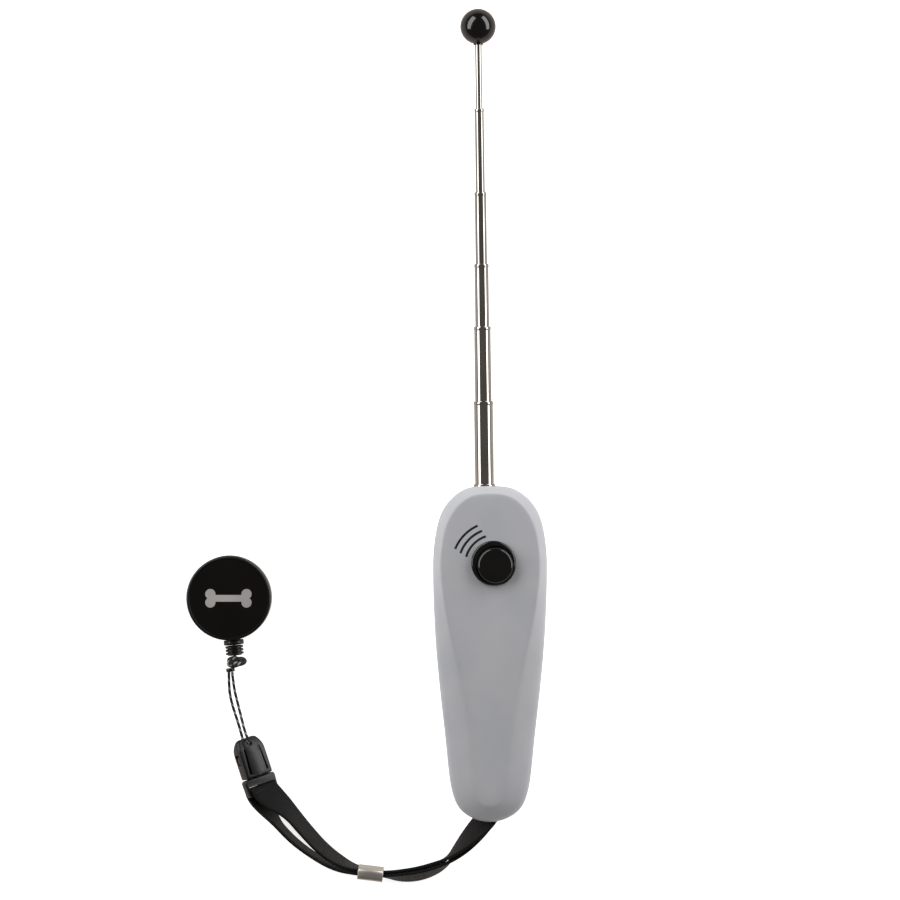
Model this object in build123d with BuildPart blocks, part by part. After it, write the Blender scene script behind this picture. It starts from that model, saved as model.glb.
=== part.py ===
from build123d import *
import os
from math import cos, pi, radians, sin, tan

# Telescopic target stick with a thumb clicker in its handle, a wrist strap and a belt reel.
# Millimetres.  The stick lies on its back: Z is up from the flat back of the handle, Y runs along
# the handle towards the target ball, and X is across it.  The origin is on the flat back, halfway
# along the handle.

# ---- driving dimensions -------------------------------------------------------------------
handle_depth = 22.0          # back to front
split_height = 11.0          # parting plane between the two shells
flank_height = 16.0          # where the sides of the front shell turn into its flanks
wall = 2.0
back_edge_round = 3.0

antenna_base = (-1.8, 58.4, 8.0)     # centre of the mouth of the base tube
antenna_lean = 0.82                  # degrees that the telescope leans towards -X
base_tube_radius = 3.675
tube_wall = 0.25
slip_gap = 0.175                     # between a tube's bore and the next tube, filled by a slip ring
slip_clearance = 0.03
section_length = 96.4
collapsed_step = 1.2                 # how far each stage still stands out when pushed home
exposed = (28.5, 25.7, 21.6, 24.7, 28.8, 22.2)    # what each stage shows in the rest position
ball_radius = 6.1

button_centre = (1.7, 30.9)
button_radius = 6.1
collar_radius = 7.65
collar_centre = (1.1, 31.6)          # the collar's rim is wider on its upper left
button_travel = 1.3

reel_centre = (-89.6, 19.3)
reel_radius = 14.5
reel_back = 5.2                      # height of the reel's back face
reel_depth = 9.4
neck_lean = 5.7                      # degrees that the reel's neck leans from -Y towards +X

buckle_joint = (-80.2, -42.6, 5.2)   # middle of the seam between the buckle's halves
buckle_lean = 18.0                   # degrees that the buckle leans towards -X
buckle_roll = 30.0                   # degrees that it is rolled about its own length

webbing_thickness = 1.2
loop_cord_diameter = 1.0

# ---- outlines of the handle: half of each, from the top of the handle to its bottom --------
side_outline = [(0, 57.5), (5.5, 57.15), (17.5, 45.8), (19.5, 27), (18.3, -1), (13.9, -42),
                (9.5, -53.3), (0, -57.5)]
panel_outline = [(0, 54), (5, 53.7), (14.4, 43), (15.8, 27), (13.2, -1), (7, -39),
                 (4.4, -48), (0, -50.5)]

# ---- places worked out from the driving dimensions ------------------------------------------
lean = radians(antenna_lean)
antenna_direction = Vector(-sin(lean), cos(lean), 0)
antenna_plane = Plane(origin=antenna_base, x_dir=(cos(lean), sin(lean), 0), z_dir=(0, 0, 1))
antenna_axis = Axis(antenna_base, antenna_direction)

neck = radians(neck_lean)
reel_middle = reel_back + reel_depth / 2
reel_top = reel_back + reel_depth
# Local X runs out along the neck, local Z is up.
neck_plane = Plane(origin=(*reel_centre, reel_middle), x_dir=(sin(neck), -cos(neck), 0), z_dir=(0, 0, 1))

buckle = radians(buckle_lean)
roll = radians(buckle_roll)
# Local Y runs from the seam to the cord end, local X across, local Z out of the tongue panel.
buckle_across = Vector(cos(buckle) * cos(roll), sin(buckle) * cos(roll), -sin(roll))
buckle_along = Vector(-sin(buckle), cos(buckle), 0)
buckle_plane = Plane(origin=buckle_joint, x_dir=buckle_across, z_dir=buckle_across.cross(buckle_along))

os.makedirs("parts", exist_ok=True)


def save(builder, name):
    """Label a finished piece and write it as one STEP file."""
    builder.part.label = name
    export_step(builder.part, f"parts/{name}.step")


def outline_face(points, scale_x=1.0, scale_y=1.0):
    """Fill the sketch being built with a mirrored chain of tangent arcs."""
    with BuildLine(mode=Mode.PRIVATE) as outline:
        start = (0, points[0][1] * scale_y)
        tangent = (1, 0)
        for x, y in points[1:]:
            arc = TangentArc(start, (x * scale_x, y * scale_y), tangent=tangent)
            start, tangent = arc @ 1, arc % 1
        mirror(about=Plane.YZ)
    make_face(outline.edges())


def block(low, high, mode=Mode.ADD):
    """Add or cut a box between two corners."""
    middle = tuple((a + b) / 2 for a, b in zip(low, high))
    with Locations(middle):
        Box(*[b - a for a, b in zip(low, high)], mode=mode)


def posts(places, radius, bottom, top, mode=Mode.ADD):
    """Add or cut upright round posts between two heights."""
    with BuildSketch(Plane.XY.offset(bottom)) as circles:
        with Locations(*places):
            Circle(radius)
    extrude(circles.sketch, amount=top - bottom, mode=mode)


# ---- handle shells ---------------------------------------------------------------------------
inner_x = 0.895
inner_y = 0.965
case_screw_places = [(-11.3, 45.2), (11.3, 45.2), (-8.4, -36), (8.4, -36)]
case_boss_radius = 2.8
screw_core_radius = 1.0
carrier_screw_places = [(button_centre[0] - 10.4, 31), (button_centre[0] + 10.4, 31)]
carrier_boss_radius = 2.2
carrier_floor = 12.2
carrier_plate = 1.4
tube_seat_radius = base_tube_radius + 0.12

strap_x = -1.0                 # middle of the strap slot and pin
strap_slot_width = 12.5
strap_slot_height = 4.5
strap_pin_y = -52.3
strap_pin_radius = 1.0
strap_pin_length = 15.0
pin_rib = 1.8

base_tube_end = -101.0         # along the telescope from its mouth
antenna_screw_at = -104.5
antenna_screw_place = tuple(Vector(antenna_base) + antenna_direction * antenna_screw_at)[:2]
lug_height = 1.6


def tube_seat():
    """Cut the round seat of the base tube along the telescope's axis."""
    with BuildSketch(Plane(origin=antenna_base, z_dir=antenna_direction)) as bore:
        Circle(tube_seat_radius)
    extrude(bore.sketch, amount=100, both=True, mode=Mode.SUBTRACT)


def strap_slot_and_pin_seat():
    """Cut the strap's way out through the bottom of the handle and the seat of its pin."""
    half_width = strap_slot_width / 2
    half_height = strap_slot_height / 2
    block((strap_x - half_width, -60, split_height - half_height),
          (strap_x + half_width, -50, split_height + half_height), mode=Mode.SUBTRACT)
    with BuildSketch(Plane(origin=(strap_x, strap_pin_y, split_height), z_dir=(1, 0, 0))) as seat:
        Circle(strap_pin_radius)
    extrude(seat.sketch, amount=strap_pin_length / 2, both=True, mode=Mode.SUBTRACT)


with BuildPart() as back_shell:
    with BuildSketch():
        outline_face(side_outline)
    extrude(amount=split_height)
    fillet(back_shell.edges().group_by(Axis.Z)[0], radius=back_edge_round)
    with BuildSketch(Plane.XY.offset(wall)):
        outline_face(side_outline, inner_x, inner_y)
    extrude(amount=split_height, mode=Mode.SUBTRACT)
    posts(case_screw_places, case_boss_radius, wall, split_height)
    posts([antenna_screw_place], 2.6, wall, antenna_base[2] - lug_height / 2)
    for rib_y in (40, 0, -30):
        block((-9, rib_y - 0.8, wall), (7.5, rib_y + 0.8, antenna_base[2]))
    for side in (-1, 1):
        rib_x = strap_x + side * (strap_slot_width / 2 + pin_rib / 2)
        block((rib_x - pin_rib / 2, -54.5, wall), (rib_x + pin_rib / 2, -50, split_height))
    tube_seat()
    strap_slot_and_pin_seat()
    posts(case_screw_places, 1.2, wall, split_height, mode=Mode.SUBTRACT)
    posts(case_screw_places, 2.1, 0, wall + 2, mode=Mode.SUBTRACT)
    posts([antenna_screw_place], screw_core_radius, wall + 0.8, antenna_base[2], mode=Mode.SUBTRACT)
save(back_shell, "back_shell")

with BuildPart() as front_shell:
    with BuildSketch(Plane.XY.offset(split_height)):
        outline_face(side_outline)
    extrude(amount=flank_height - split_height)
    with BuildSketch(Plane.XY.offset(flank_height)):
        outline_face(side_outline)
    with BuildSketch(Plane.XY.offset(handle_depth)):
        outline_face(panel_outline)
    loft(ruled=True)
    fillet(front_shell.edges().group_by(Axis.Z)[-1], radius=1.5)
    with BuildSketch(Plane.XY.offset(split_height)):
        outline_face(side_outline, inner_x, inner_y)
    extrude(amount=flank_height - split_height, mode=Mode.SUBTRACT)
    with BuildSketch(Plane.XY.offset(flank_height)):
        outline_face(side_outline, inner_x, inner_y)
    with BuildSketch(Plane.XY.offset(handle_depth - wall)):
        outline_face(panel_outline, 0.93, 0.97)
    loft(ruled=True, mode=Mode.SUBTRACT)
    posts(case_screw_places, case_boss_radius, split_height, handle_depth - wall - 1)
    posts(carrier_screw_places, carrier_boss_radius, carrier_floor + carrier_plate, handle_depth - wall / 2)
    for side in (-1, 1):
        rib_x = strap_x + side * (strap_slot_width / 2 + pin_rib / 2)
        block((rib_x - pin_rib / 2, -54.5, split_height), (rib_x + pin_rib / 2, -50, flank_height + 1))
    tube_seat()
    strap_slot_and_pin_seat()
    posts([button_centre], 7.0, handle_depth - 2 * wall, handle_depth + 1, mode=Mode.SUBTRACT)
    posts(case_screw_places, screw_core_radius, split_height, split_height + 6, mode=Mode.SUBTRACT)
    posts(carrier_screw_places, screw_core_radius, carrier_floor, carrier_floor + 5, mode=Mode.SUBTRACT)
save(front_shell, "front_shell")

# ---- fasteners and the strap's pin --------------------------------------------------------------
with BuildPart() as case_screws:
    posts(case_screw_places, 1.95, 0.6, wall + 1.9)
    posts(case_screw_places, 0.98, wall + 1.9, split_height + 5.5)
    posts(case_screw_places, 0.7, 0.6, 1.5, mode=Mode.SUBTRACT)
save(case_screws, "case_screws")

with BuildPart() as strap_pin:
    with BuildSketch(Plane(origin=(strap_x, strap_pin_y, split_height), z_dir=(1, 0, 0))):
        Circle(strap_pin_radius)
    extrude(amount=strap_pin_length / 2, both=True)
    chamfer(strap_pin.edges(), length=0.2)
save(strap_pin, "strap_pin")

# ---- thumb button and clicker --------------------------------------------------------------------
button_stem_end = 15.3
flange_bottom, flange_top = 18.9, 19.9
collar_bottom, collar_top = 20.1, 23.4
cap_top = 25.2
plate_rest = 14.0
plate_crown = 0.9
plate_thickness = 0.3
plate_half_width = 6.0
plate_clamp = (-9.0, -5.6)           # clamped end and free end, along Y from the button's axis
plate_free = 8.5
rivet_places = [(button_centre[0] + side * 3.6, button_centre[1] - 7.4) for side in (-1, 1)]

with BuildPart() as button_collar:
    posts([button_centre], 6.95, collar_bottom, handle_depth)
    posts([collar_centre], collar_radius, handle_depth, collar_top)
    fillet(button_collar.edges().group_by(Axis.Z)[-1], radius=0.5)
    posts([button_centre], button_radius + 0.15, collar_bottom, collar_top, mode=Mode.SUBTRACT)
save(button_collar, "button_collar")

with BuildPart() as button_cap:
    posts([button_centre], button_radius, flange_bottom, cap_top)
    fillet(button_cap.edges().group_by(Axis.Z)[-1], radius=1.1)
    posts([button_centre], 6.75, flange_bottom, flange_top)
    posts([button_centre], 2.0, button_stem_end, flange_bottom)
    with Locations((*button_centre, cap_top + 13.2)):
        Sphere(13.6, mode=Mode.SUBTRACT)
save(button_cap, "button_cap")

with BuildPart() as clicker_carrier:
    with BuildSketch(Plane.XY.offset(carrier_floor)):
        with Locations(button_centre):
            Rectangle(15.4, 20)
        with Locations(*carrier_screw_places):
            Circle(2.4)
        with Locations((button_centre[0], carrier_screw_places[0][1])):
            Rectangle(20.8, 4.8)
    extrude(amount=carrier_plate)
    x, y = button_centre
    block((x - 7.7, y - 10, carrier_floor), (x + 7.7, y + plate_clamp[1], plate_rest))
    block((x - 7.7, y + plate_free - 1.5, carrier_floor), (x + 7.7, y + 10, plate_rest - 0.05))
    for side in (-1, 1):
        block((x + side * 7.1 - 0.6, y - 10, carrier_floor), (x + side * 7.1 + 0.6, y + 10, plate_rest + 1.6))
    posts(carrier_screw_places, 1.25, carrier_floor - 1, plate_rest, mode=Mode.SUBTRACT)
    posts(rivet_places, 0.8, carrier_floor - 1, plate_rest + 1, mode=Mode.SUBTRACT)
save(clicker_carrier, "clicker_carrier")

with BuildPart() as click_plate:
    with BuildSketch(Plane(origin=(*button_centre, plate_rest), x_dir=(0, 1, 0), z_dir=(1, 0, 0))):
        with BuildLine():
            clamped = Line((plate_clamp[0], 0), (plate_clamp[1], 0))
            bowed = ThreePointArc(clamped @ 1, (1.5, plate_crown - plate_thickness), (plate_free, 0))
            tip = Line(bowed @ 1, (plate_free, plate_thickness))
            bowed_top = ThreePointArc(tip @ 1, (1.5, plate_crown), (plate_clamp[1], plate_thickness))
            clamped_top = Line(bowed_top @ 1, (plate_clamp[0], plate_thickness))
            Line(clamped_top @ 1, clamped @ 0)
        make_face()
    extrude(amount=plate_half_width, both=True)
    posts(rivet_places, 0.8, plate_rest - 1, plate_rest + 1, mode=Mode.SUBTRACT)
save(click_plate, "click_plate")

with BuildPart() as plate_rivets:
    posts(rivet_places, 0.8, carrier_floor, plate_rest + plate_thickness)
    posts(rivet_places, 1.3, plate_rest + plate_thickness, plate_rest + 0.8)
save(plate_rivets, "plate_rivets")

with BuildPart() as carrier_screws:
    posts(carrier_screw_places, 1.9, carrier_floor - 1.2, carrier_floor)
    posts(carrier_screw_places, 0.98, carrier_floor, carrier_floor + 4.5)
save(carrier_screws, "carrier_screws")

# ---- telescope -----------------------------------------------------------------------------------
radii = [base_tube_radius - stage * (tube_wall + slip_gap) for stage in range(len(exposed) + 1)]
bores = [radius - tube_wall for radius in radii]
tops = [0.0]
for length in exposed:
    tops.append(tops[-1] + length)
bead = 0.1
bead_length = 1.1
lip_clearance = 0.05
lip_length = 0.8
ring_length = 5.0
stage_count = len(exposed)


def telescope_ring(inner, outer, bottom, top):
    """Add a plain round sleeve on the telescope's axis."""
    with BuildSketch(antenna_plane) as section:
        with Locations(((inner + outer) / 2, (bottom + top) / 2)):
            Rectangle(outer - inner, top - bottom)
    revolve(section.sketch, axis=antenna_axis)


def telescope_tube(name, stage, bottom):
    """Write one drawn tube with a rolled bead and an inward lip at its mouth."""
    radius, bore, top = radii[stage], bores[stage], tops[stage]
    lip = radii[stage + 1] + lip_clearance
    with BuildPart() as tube:
        with BuildSketch(antenna_plane):
            with BuildLine():
                Polyline((bore, bottom), (radius, bottom), (radius, top - bead_length),
                         (radius + bead, top - bead_length + bead), (radius + bead, top - 0.2),
                         (radius - 0.1, top), (lip, top), (lip, top - lip_length),
                         (bore, top - lip_length), close=True)
            make_face()
        revolve(axis=antenna_axis)
    save(tube, name)


telescope_tube("antenna_base_tube", 0, base_tube_end)
for stage in range(1, stage_count):
    telescope_tube(f"antenna_section_{stage}", stage, tops[stage] - section_length)

for stage in range(1, stage_count + 1):
    ring_bottom = tops[stage] - section_length
    with BuildPart() as slip_ring:
        telescope_ring(radii[stage], bores[stage - 1] - slip_clearance, ring_bottom, ring_bottom + ring_length)
    save(slip_ring, f"slip_ring_{stage}")

ball_centre_at = tops[-1] + ball_radius
with BuildPart() as antenna_tip_rod:
    telescope_ring(0, radii[-1], tops[-1] - section_length, ball_centre_at - 1)
save(antenna_tip_rod, "antenna_tip_rod")

with BuildPart() as ball_tip:
    ball_centre = Vector(antenna_base) + antenna_direction * ball_centre_at
    with Locations(ball_centre):
        Sphere(ball_radius)
    with BuildSketch(Plane(origin=ball_centre - antenna_direction, z_dir=-antenna_direction)):
        Circle(radii[-1])
    extrude(amount=ball_radius, mode=Mode.SUBTRACT)
save(ball_tip, "ball_tip")

with BuildPart() as antenna_base_plug:
    telescope_ring(0, bores[0], base_tube_end, base_tube_end + 5)
    with BuildSketch(antenna_plane.offset(-lug_height / 2)):
        with Locations((0, (base_tube_end + antenna_screw_at) / 2)):
            Rectangle(5, base_tube_end - antenna_screw_at)
        with Locations((0, antenna_screw_at)):
            Circle(2.5)
    extrude(amount=lug_height)
    posts([antenna_screw_place], 1.15, 0, split_height, mode=Mode.SUBTRACT)
save(antenna_base_plug, "antenna_base_plug")

lug_top = antenna_base[2] + lug_height / 2
with BuildPart() as antenna_screw:
    posts([antenna_screw_place], 2.0, lug_top, lug_top + 1.2)
    posts([antenna_screw_place], 0.98, wall + 1, lug_top)
save(antenna_screw, "antenna_screw")

# ---- wrist strap -----------------------------------------------------------------------------------
# The webbing is one piece folded in half: it turns round the pin in the handle, its two layers run
# through the ferrule together, part beyond it and meet again in the buckle's slot.
upper_layer_route = [
    (-1.0, -52.3, 12.65), (-1.9, -57.0, 12.0), (-5.9, -61.4, 10.0), (-11.1, -66.9, 7.7),
    (-16.5, -72.2, 6.0), (-23.3, -75.2, 5.6), (-30.0, -76.3, 5.5), (-36.8, -75.7, 5.5),
    (-45.2, -74.6, 5.5), (-51.0, -72.4, 5.6), (-57.5, -67.8, 5.8), (-63.5, -61.2, 6.2),
    (-69.6, -53.7, 6.7), (-76.9, -47.4, 7.0),
]
lower_layer_route = [
    (-1.0, -52.3, 9.35), (-1.9, -57.2, 9.8), (-5.3, -61.9, 8.3), (-10.1, -67.9, 6.6),
    (-15.5, -73.7, 5.7), (-22.7, -77.1, 5.5), (-30.0, -78.1, 5.5), (-36.8, -77.3, 5.5),
    (-45.6, -76.1, 5.5), (-53.9, -74.8, 5.3), (-61.3, -70.7, 4.8), (-68.4, -64.3, 4.2),
    (-75.0, -57.0, 3.6), (-80.1, -48.5, 3.4),
]
# The thin cord goes from the crimp over the buckle's tip, through its eye and back underneath.
cord_loop_route = [
    (-88.6, -6.4, 9.8), (-88.2, -11.8, 7.6), (-87.0, -17.0, 6.2), (-85.7, -22.2, 6.2),
    (-84.4, -27.2, 6.8), (-83.3, -29.6, 7.1), (-83.4, -31.2, 6.0), (-84.3, -31.4, 4.4),
    (-85.4, -30.2, 3.1), (-86.0, -27.6, 3.2), (-87.5, -22.6, 3.4), (-89.2, -17.2, 4.4),
    (-90.0, -11.8, 6.4), (-89.8, -6.3, 8.9),
]
ferrule_centre = (-41.1, -75.85, 6.2)
ferrule_turn = 7.0                   # degrees, towards -Y at its +X end
ferrule_size = (8.7, 4.2, 11.8)
ferrule_wall = 0.5


def cord_tube(name, route, diameter):
    """Write a cord as one round tube along straight runs joined by large tangent arcs."""
    points = [Vector(*place) for place in route]
    corners = []
    for before, corner, after in zip(points, points[1:], points[2:]):
        turn = radians((corner - before).get_angle(after - corner))
        shorter = min((corner - before).length, (after - corner).length)
        corners.append(0.45 * shorter / tan(turn / 2))
    with BuildPart() as tube:
        with BuildLine():
            path = FilletPolyline(*points, radius=corners)
        with BuildSketch(Plane(origin=path @ 0, z_dir=path % 0)):
            Circle(diameter / 2)
        sweep(path=path)
    section = pi * (diameter / 2) ** 2
    print(name, "radii", [round(radius, 1) for radius in corners], "length", round(path.length, 1),
          "volume over section times length", round(tube.part.volume / section / path.length, 4))
    save(tube, name)


cord_tube("strap_upper_layer", upper_layer_route, webbing_thickness)
cord_tube("strap_lower_layer", lower_layer_route, webbing_thickness)
cord_tube("cord_loop", cord_loop_route, loop_cord_diameter)

ferrule_plane = Plane(origin=ferrule_centre, z_dir=(cos(radians(ferrule_turn)), -sin(radians(ferrule_turn)), 0),
                      x_dir=(sin(radians(ferrule_turn)), cos(radians(ferrule_turn)), 0))
with BuildPart() as strap_ferrule:
    with BuildSketch(ferrule_plane):
        RectangleRounded(ferrule_size[1], ferrule_size[2], 1.4)
        RectangleRounded(ferrule_size[1] - 2 * ferrule_wall, ferrule_size[2] - 2 * ferrule_wall, 0.9,
                         mode=Mode.SUBTRACT)
    extrude(amount=ferrule_size[0] / 2, both=True)
save(strap_ferrule, "strap_ferrule")

# ---- buckle -------------------------------------------------------------------------------------------
female_length = 13.9
female_half_width = 4.95
female_depth = 5.4
tip_depth = 1.8
taper_start = 10.2
eye_at = 11.9
eye_radius = 0.95
cavity_half_width = 3.9
cavity_length = 9.8
cavity_depth = 2.8
male_half_width = 6.0
male_length = 6.2
male_depth = 3.4
strap_slot = (-4.7, -2.2)            # along the buckle from the seam
seam_gap = 0.15
prong_length = 8.6
prong_depth = 2.4
tongue_end = 8.9
tongue_width = 2.6
tongue_depth = 2.2

with BuildPart() as buckle_female:
    with BuildSketch(buckle_plane.offset(-female_depth / 2)):
        with BuildLine():
            right = Line((female_half_width, seam_gap), (female_half_width, 9.0))
            shoulder = TangentArc(right @ 1, (2.4, female_length), tangent=(0, 1))
            top = Line(shoulder @ 1, (-2.4, female_length))
            left_shoulder = TangentArc((-female_half_width, 9.0), top @ 1, tangent=(0, 1))
            left = Line(left_shoulder @ 0, (-female_half_width, seam_gap))
            Line(left @ 1, right @ 0)
        make_face()
    extrude(amount=female_depth)
    across = Plane(origin=buckle_joint, x_dir=buckle_along, z_dir=buckle_across)
    for side in (-1, 1):
        with BuildSketch(across):
            Polygon((taper_start, side * 4), (taper_start, side * female_depth / 2),
                    (female_length, side * tip_depth / 2), (female_length + 1, side * 4), align=None)
        extrude(amount=8, both=True, mode=Mode.SUBTRACT)
    with BuildSketch(buckle_plane.offset(-cavity_depth / 2)):
        with Locations((0, cavity_length / 2)):
            Rectangle(2 * cavity_half_width, cavity_length)
        with Locations((0, 7.2)):
            Rectangle(20, 3.6)
    extrude(amount=cavity_depth, mode=Mode.SUBTRACT)
    with BuildSketch(buckle_plane.offset(-5)):
        with Locations((0, eye_at)):
            Circle(eye_radius)
    extrude(amount=10, mode=Mode.SUBTRACT)
save(buckle_female, "buckle_female")

with BuildPart() as buckle_male:
    with BuildSketch(buckle_plane.offset(-male_depth / 2)):
        with Locations((0, -male_length / 2)):
            RectangleRounded(2 * male_half_width, male_length, 1.2)
        with Locations((0, sum(strap_slot) / 2)):
            Rectangle(10.4, strap_slot[1] - strap_slot[0], mode=Mode.SUBTRACT)
    extrude(amount=male_depth)
    with BuildSketch(buckle_plane.offset(-tongue_depth / 2)):
        with Locations((0, tongue_end / 2)):
            Rectangle(tongue_width, tongue_end)
    extrude(amount=tongue_depth)
save(buckle_male, "buckle_male")

with BuildPart() as buckle_prongs:
    for side in (-1, 1):
        with BuildSketch(buckle_plane.offset(-prong_depth / 2)):
            Polygon((side * 3.7, 0), (side * 3.7, 5.8), (side * 4.7, 6.2), (side * 4.2, prong_length),
                    (side * 2.8, prong_length), (side * 2.5, 0), align=None)
        extrude(amount=prong_depth)
save(buckle_prongs, "buckle_prongs")

# ---- cord end at the reel -------------------------------------------------------------------------------
nozzle_flange = (14.6, 16.2)         # along the neck from the reel's centre
stopper = (16.5, 19.9)
stopper_ribs = 3
knot = (20.0, 24.3)
crimp = (24.2, 25.4)
crimp_side = -2.1
neck_axis = Axis(neck_plane.origin, neck_plane.x_dir)


def neck_ring(inner, outer, start, end):
    """Add a round sleeve on the neck's axis."""
    with BuildSketch(neck_plane) as section:
        with Locations(((start + end) / 2, (inner + outer) / 2)):
            Rectangle(end - start, outer - inner)
    revolve(section.sketch, axis=neck_axis)


with BuildPart() as reel_stopper:
    neck_ring(0.8, 2.4, *stopper)
    rib_pitch = (stopper[1] - stopper[0]) / stopper_ribs
    for rib in range(stopper_ribs):
        rib_start = stopper[0] + rib * rib_pitch
        neck_ring(2.2, 3.1, rib_start, rib_start + 0.65 * rib_pitch)
save(reel_stopper, "reel_stopper")

with BuildPart() as reel_cord:
    neck_ring(0, 0.45, 12.7, knot[0])
save(reel_cord, "reel_cord")

with BuildPart() as cord_knot:
    with BuildSketch(neck_plane.offset(-2.1)):
        with Locations((sum(knot) / 2, 0.3)):
            RectangleRounded(knot[1] - knot[0], 7, 1.9)
    extrude(amount=4.2)
    fillet(cord_knot.faces().filter_by(Axis.Z).edges(), radius=1.6)
save(cord_knot, "cord_knot")

with BuildPart() as cord_crimp:
    with BuildSketch(Plane(origin=neck_plane.from_local_coords((crimp[0], crimp_side, -0.5)),
                           z_dir=neck_plane.x_dir)):
        Circle(1.5)
    extrude(amount=crimp[1] - crimp[0])
save(cord_crimp, "cord_crimp")

# ---- belt reel ---------------------------------------------------------------------------------------------
shell_wall = 1.2
cavity_radius = 13.1
face_radius = 12.9
axle_radius = 1.5
spool_clearance = 0.05
hub_radius = 8.0
spring_room = 7.2
spool_flange_radius = 12.3
spool_bottom = reel_back + shell_wall + 0.3
spool_top = reel_top - shell_wall - 0.5

with BuildPart() as reel_back_shell:
    posts([reel_centre], reel_radius, reel_back, reel_middle)
    fillet(reel_back_shell.edges().group_by(Axis.Z)[0], radius=1.4)
    posts([reel_centre], cavity_radius, reel_back + shell_wall, reel_middle, mode=Mode.SUBTRACT)
    posts([reel_centre], axle_radius, reel_back, reel_middle, mode=Mode.SUBTRACT)
    with BuildSketch(Plane(origin=neck_plane.origin, z_dir=neck_plane.x_dir)):
        Circle(2.4)
    extrude(amount=20, mode=Mode.SUBTRACT)
save(reel_back_shell, "reel_back_shell")

with BuildPart() as reel_front_shell:
    posts([reel_centre], reel_radius, reel_middle, reel_top)
    fillet(reel_front_shell.edges().group_by(Axis.Z)[-1], radius=0.8)
    posts([reel_centre], cavity_radius, reel_middle, reel_top - shell_wall, mode=Mode.SUBTRACT)
    posts([reel_centre], face_radius, reel_top - 0.5, reel_top + 1, mode=Mode.SUBTRACT)
    with BuildSketch(Plane(origin=neck_plane.origin, z_dir=neck_plane.x_dir)):
        Circle(2.4)
    extrude(amount=20, mode=Mode.SUBTRACT)
save(reel_front_shell, "reel_front_shell")

with BuildPart() as reel_face_disc:
    posts([reel_centre], face_radius - 0.05, reel_top - 0.5, reel_top - 0.1)
save(reel_face_disc, "reel_face_disc")

with BuildPart() as reel_nozzle:
    neck_ring(0.95, 2.4, 13.0, nozzle_flange[0])
    neck_ring(0.95, 3.45, *nozzle_flange)
save(reel_nozzle, "reel_nozzle")

with BuildPart() as reel_axle:
    posts([reel_centre], axle_radius, reel_back + shell_wall, reel_top - shell_wall)
save(reel_axle, "reel_axle")

with BuildPart() as reel_spool:
    posts([reel_centre], spool_flange_radius, spool_bottom, spool_top)
    posts([reel_centre], spring_room, spool_bottom + 1, spool_top, mode=Mode.SUBTRACT)
    with BuildSketch(Plane.XY.offset(spool_bottom + 0.8)):
        with Locations(reel_centre):
            Circle(spool_flange_radius)
            Circle(hub_radius, mode=Mode.SUBTRACT)
    extrude(amount=spool_top - spool_bottom - 1.6, mode=Mode.SUBTRACT)
    posts([reel_centre], axle_radius + spool_clearance, spool_bottom, spool_top, mode=Mode.SUBTRACT)
save(reel_spool, "reel_spool")

with BuildPart() as spool_cord_winding:
    with BuildSketch(Plane.XY.offset(spool_bottom + 0.8)):
        with Locations(reel_centre):
            Circle(11.2)
            Circle(hub_radius, mode=Mode.SUBTRACT)
    extrude(amount=spool_top - spool_bottom - 1.6)
save(spool_cord_winding, "spool_cord_winding")

with BuildPart() as reel_spring:
    with BuildSketch(Plane(origin=(*reel_centre, spool_bottom + 1.1))):
        with BuildLine():
            radius, side = 1.9, 1
            for half_turn in range(14):
                wider = radius + 0.35
                ThreePointArc((side * radius, 0), ((radius - wider) * side / 2, side * (radius + wider) / 2),
                              (-side * wider, 0))
                radius, side = wider, -side
        trace(line_width=0.2)
    extrude(amount=3.8)
save(reel_spring, "reel_spring")

# ---- belt clip ----------------------------------------------------------------------------------------------
clip_width = 12.0
clip_strip = 0.8
clip_plate_top = reel_back - 0.1
clip_reach = 9.0
rivet_head_radius = 2.6
rivet_head_depth = 0.85
rivet_head_top = clip_plate_top - clip_strip - 0.05    # just clear of the swivelling strip

with BuildPart() as belt_clip:
    with BuildSketch(Plane(origin=(*reel_centre, 0), x_dir=(0, 1, 0), z_dir=(1, 0, 0))):
        with BuildLine():
            plate = Line((-8.5, clip_plate_top - clip_strip / 2), (clip_reach, clip_plate_top - clip_strip / 2))
            bend = TangentArc(plate @ 1, (clip_reach, clip_strip / 2), tangent=(1, 0))
            Line(bend @ 1, (-10, clip_strip / 2))
        trace(line_width=clip_strip)
    extrude(amount=clip_width / 2, both=True)
    posts([reel_centre], axle_radius + spool_clearance, 2, reel_back, mode=Mode.SUBTRACT)
save(belt_clip, "belt_clip")

with BuildPart() as clip_rivet:
    posts([reel_centre], axle_radius, rivet_head_top - 0.05, reel_back + shell_wall)
    posts([reel_centre], rivet_head_radius, rivet_head_top - rivet_head_depth, rivet_head_top)
save(clip_rivet, "clip_rivet")
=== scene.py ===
import logging
from dataclasses import dataclass, field
from enum import Enum
from math import atan2, cos, hypot, pi, radians, sin

import bmesh
import bpy
from mathutils import Matrix, Vector
from mathutils.bvhtree import BVHTree


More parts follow.
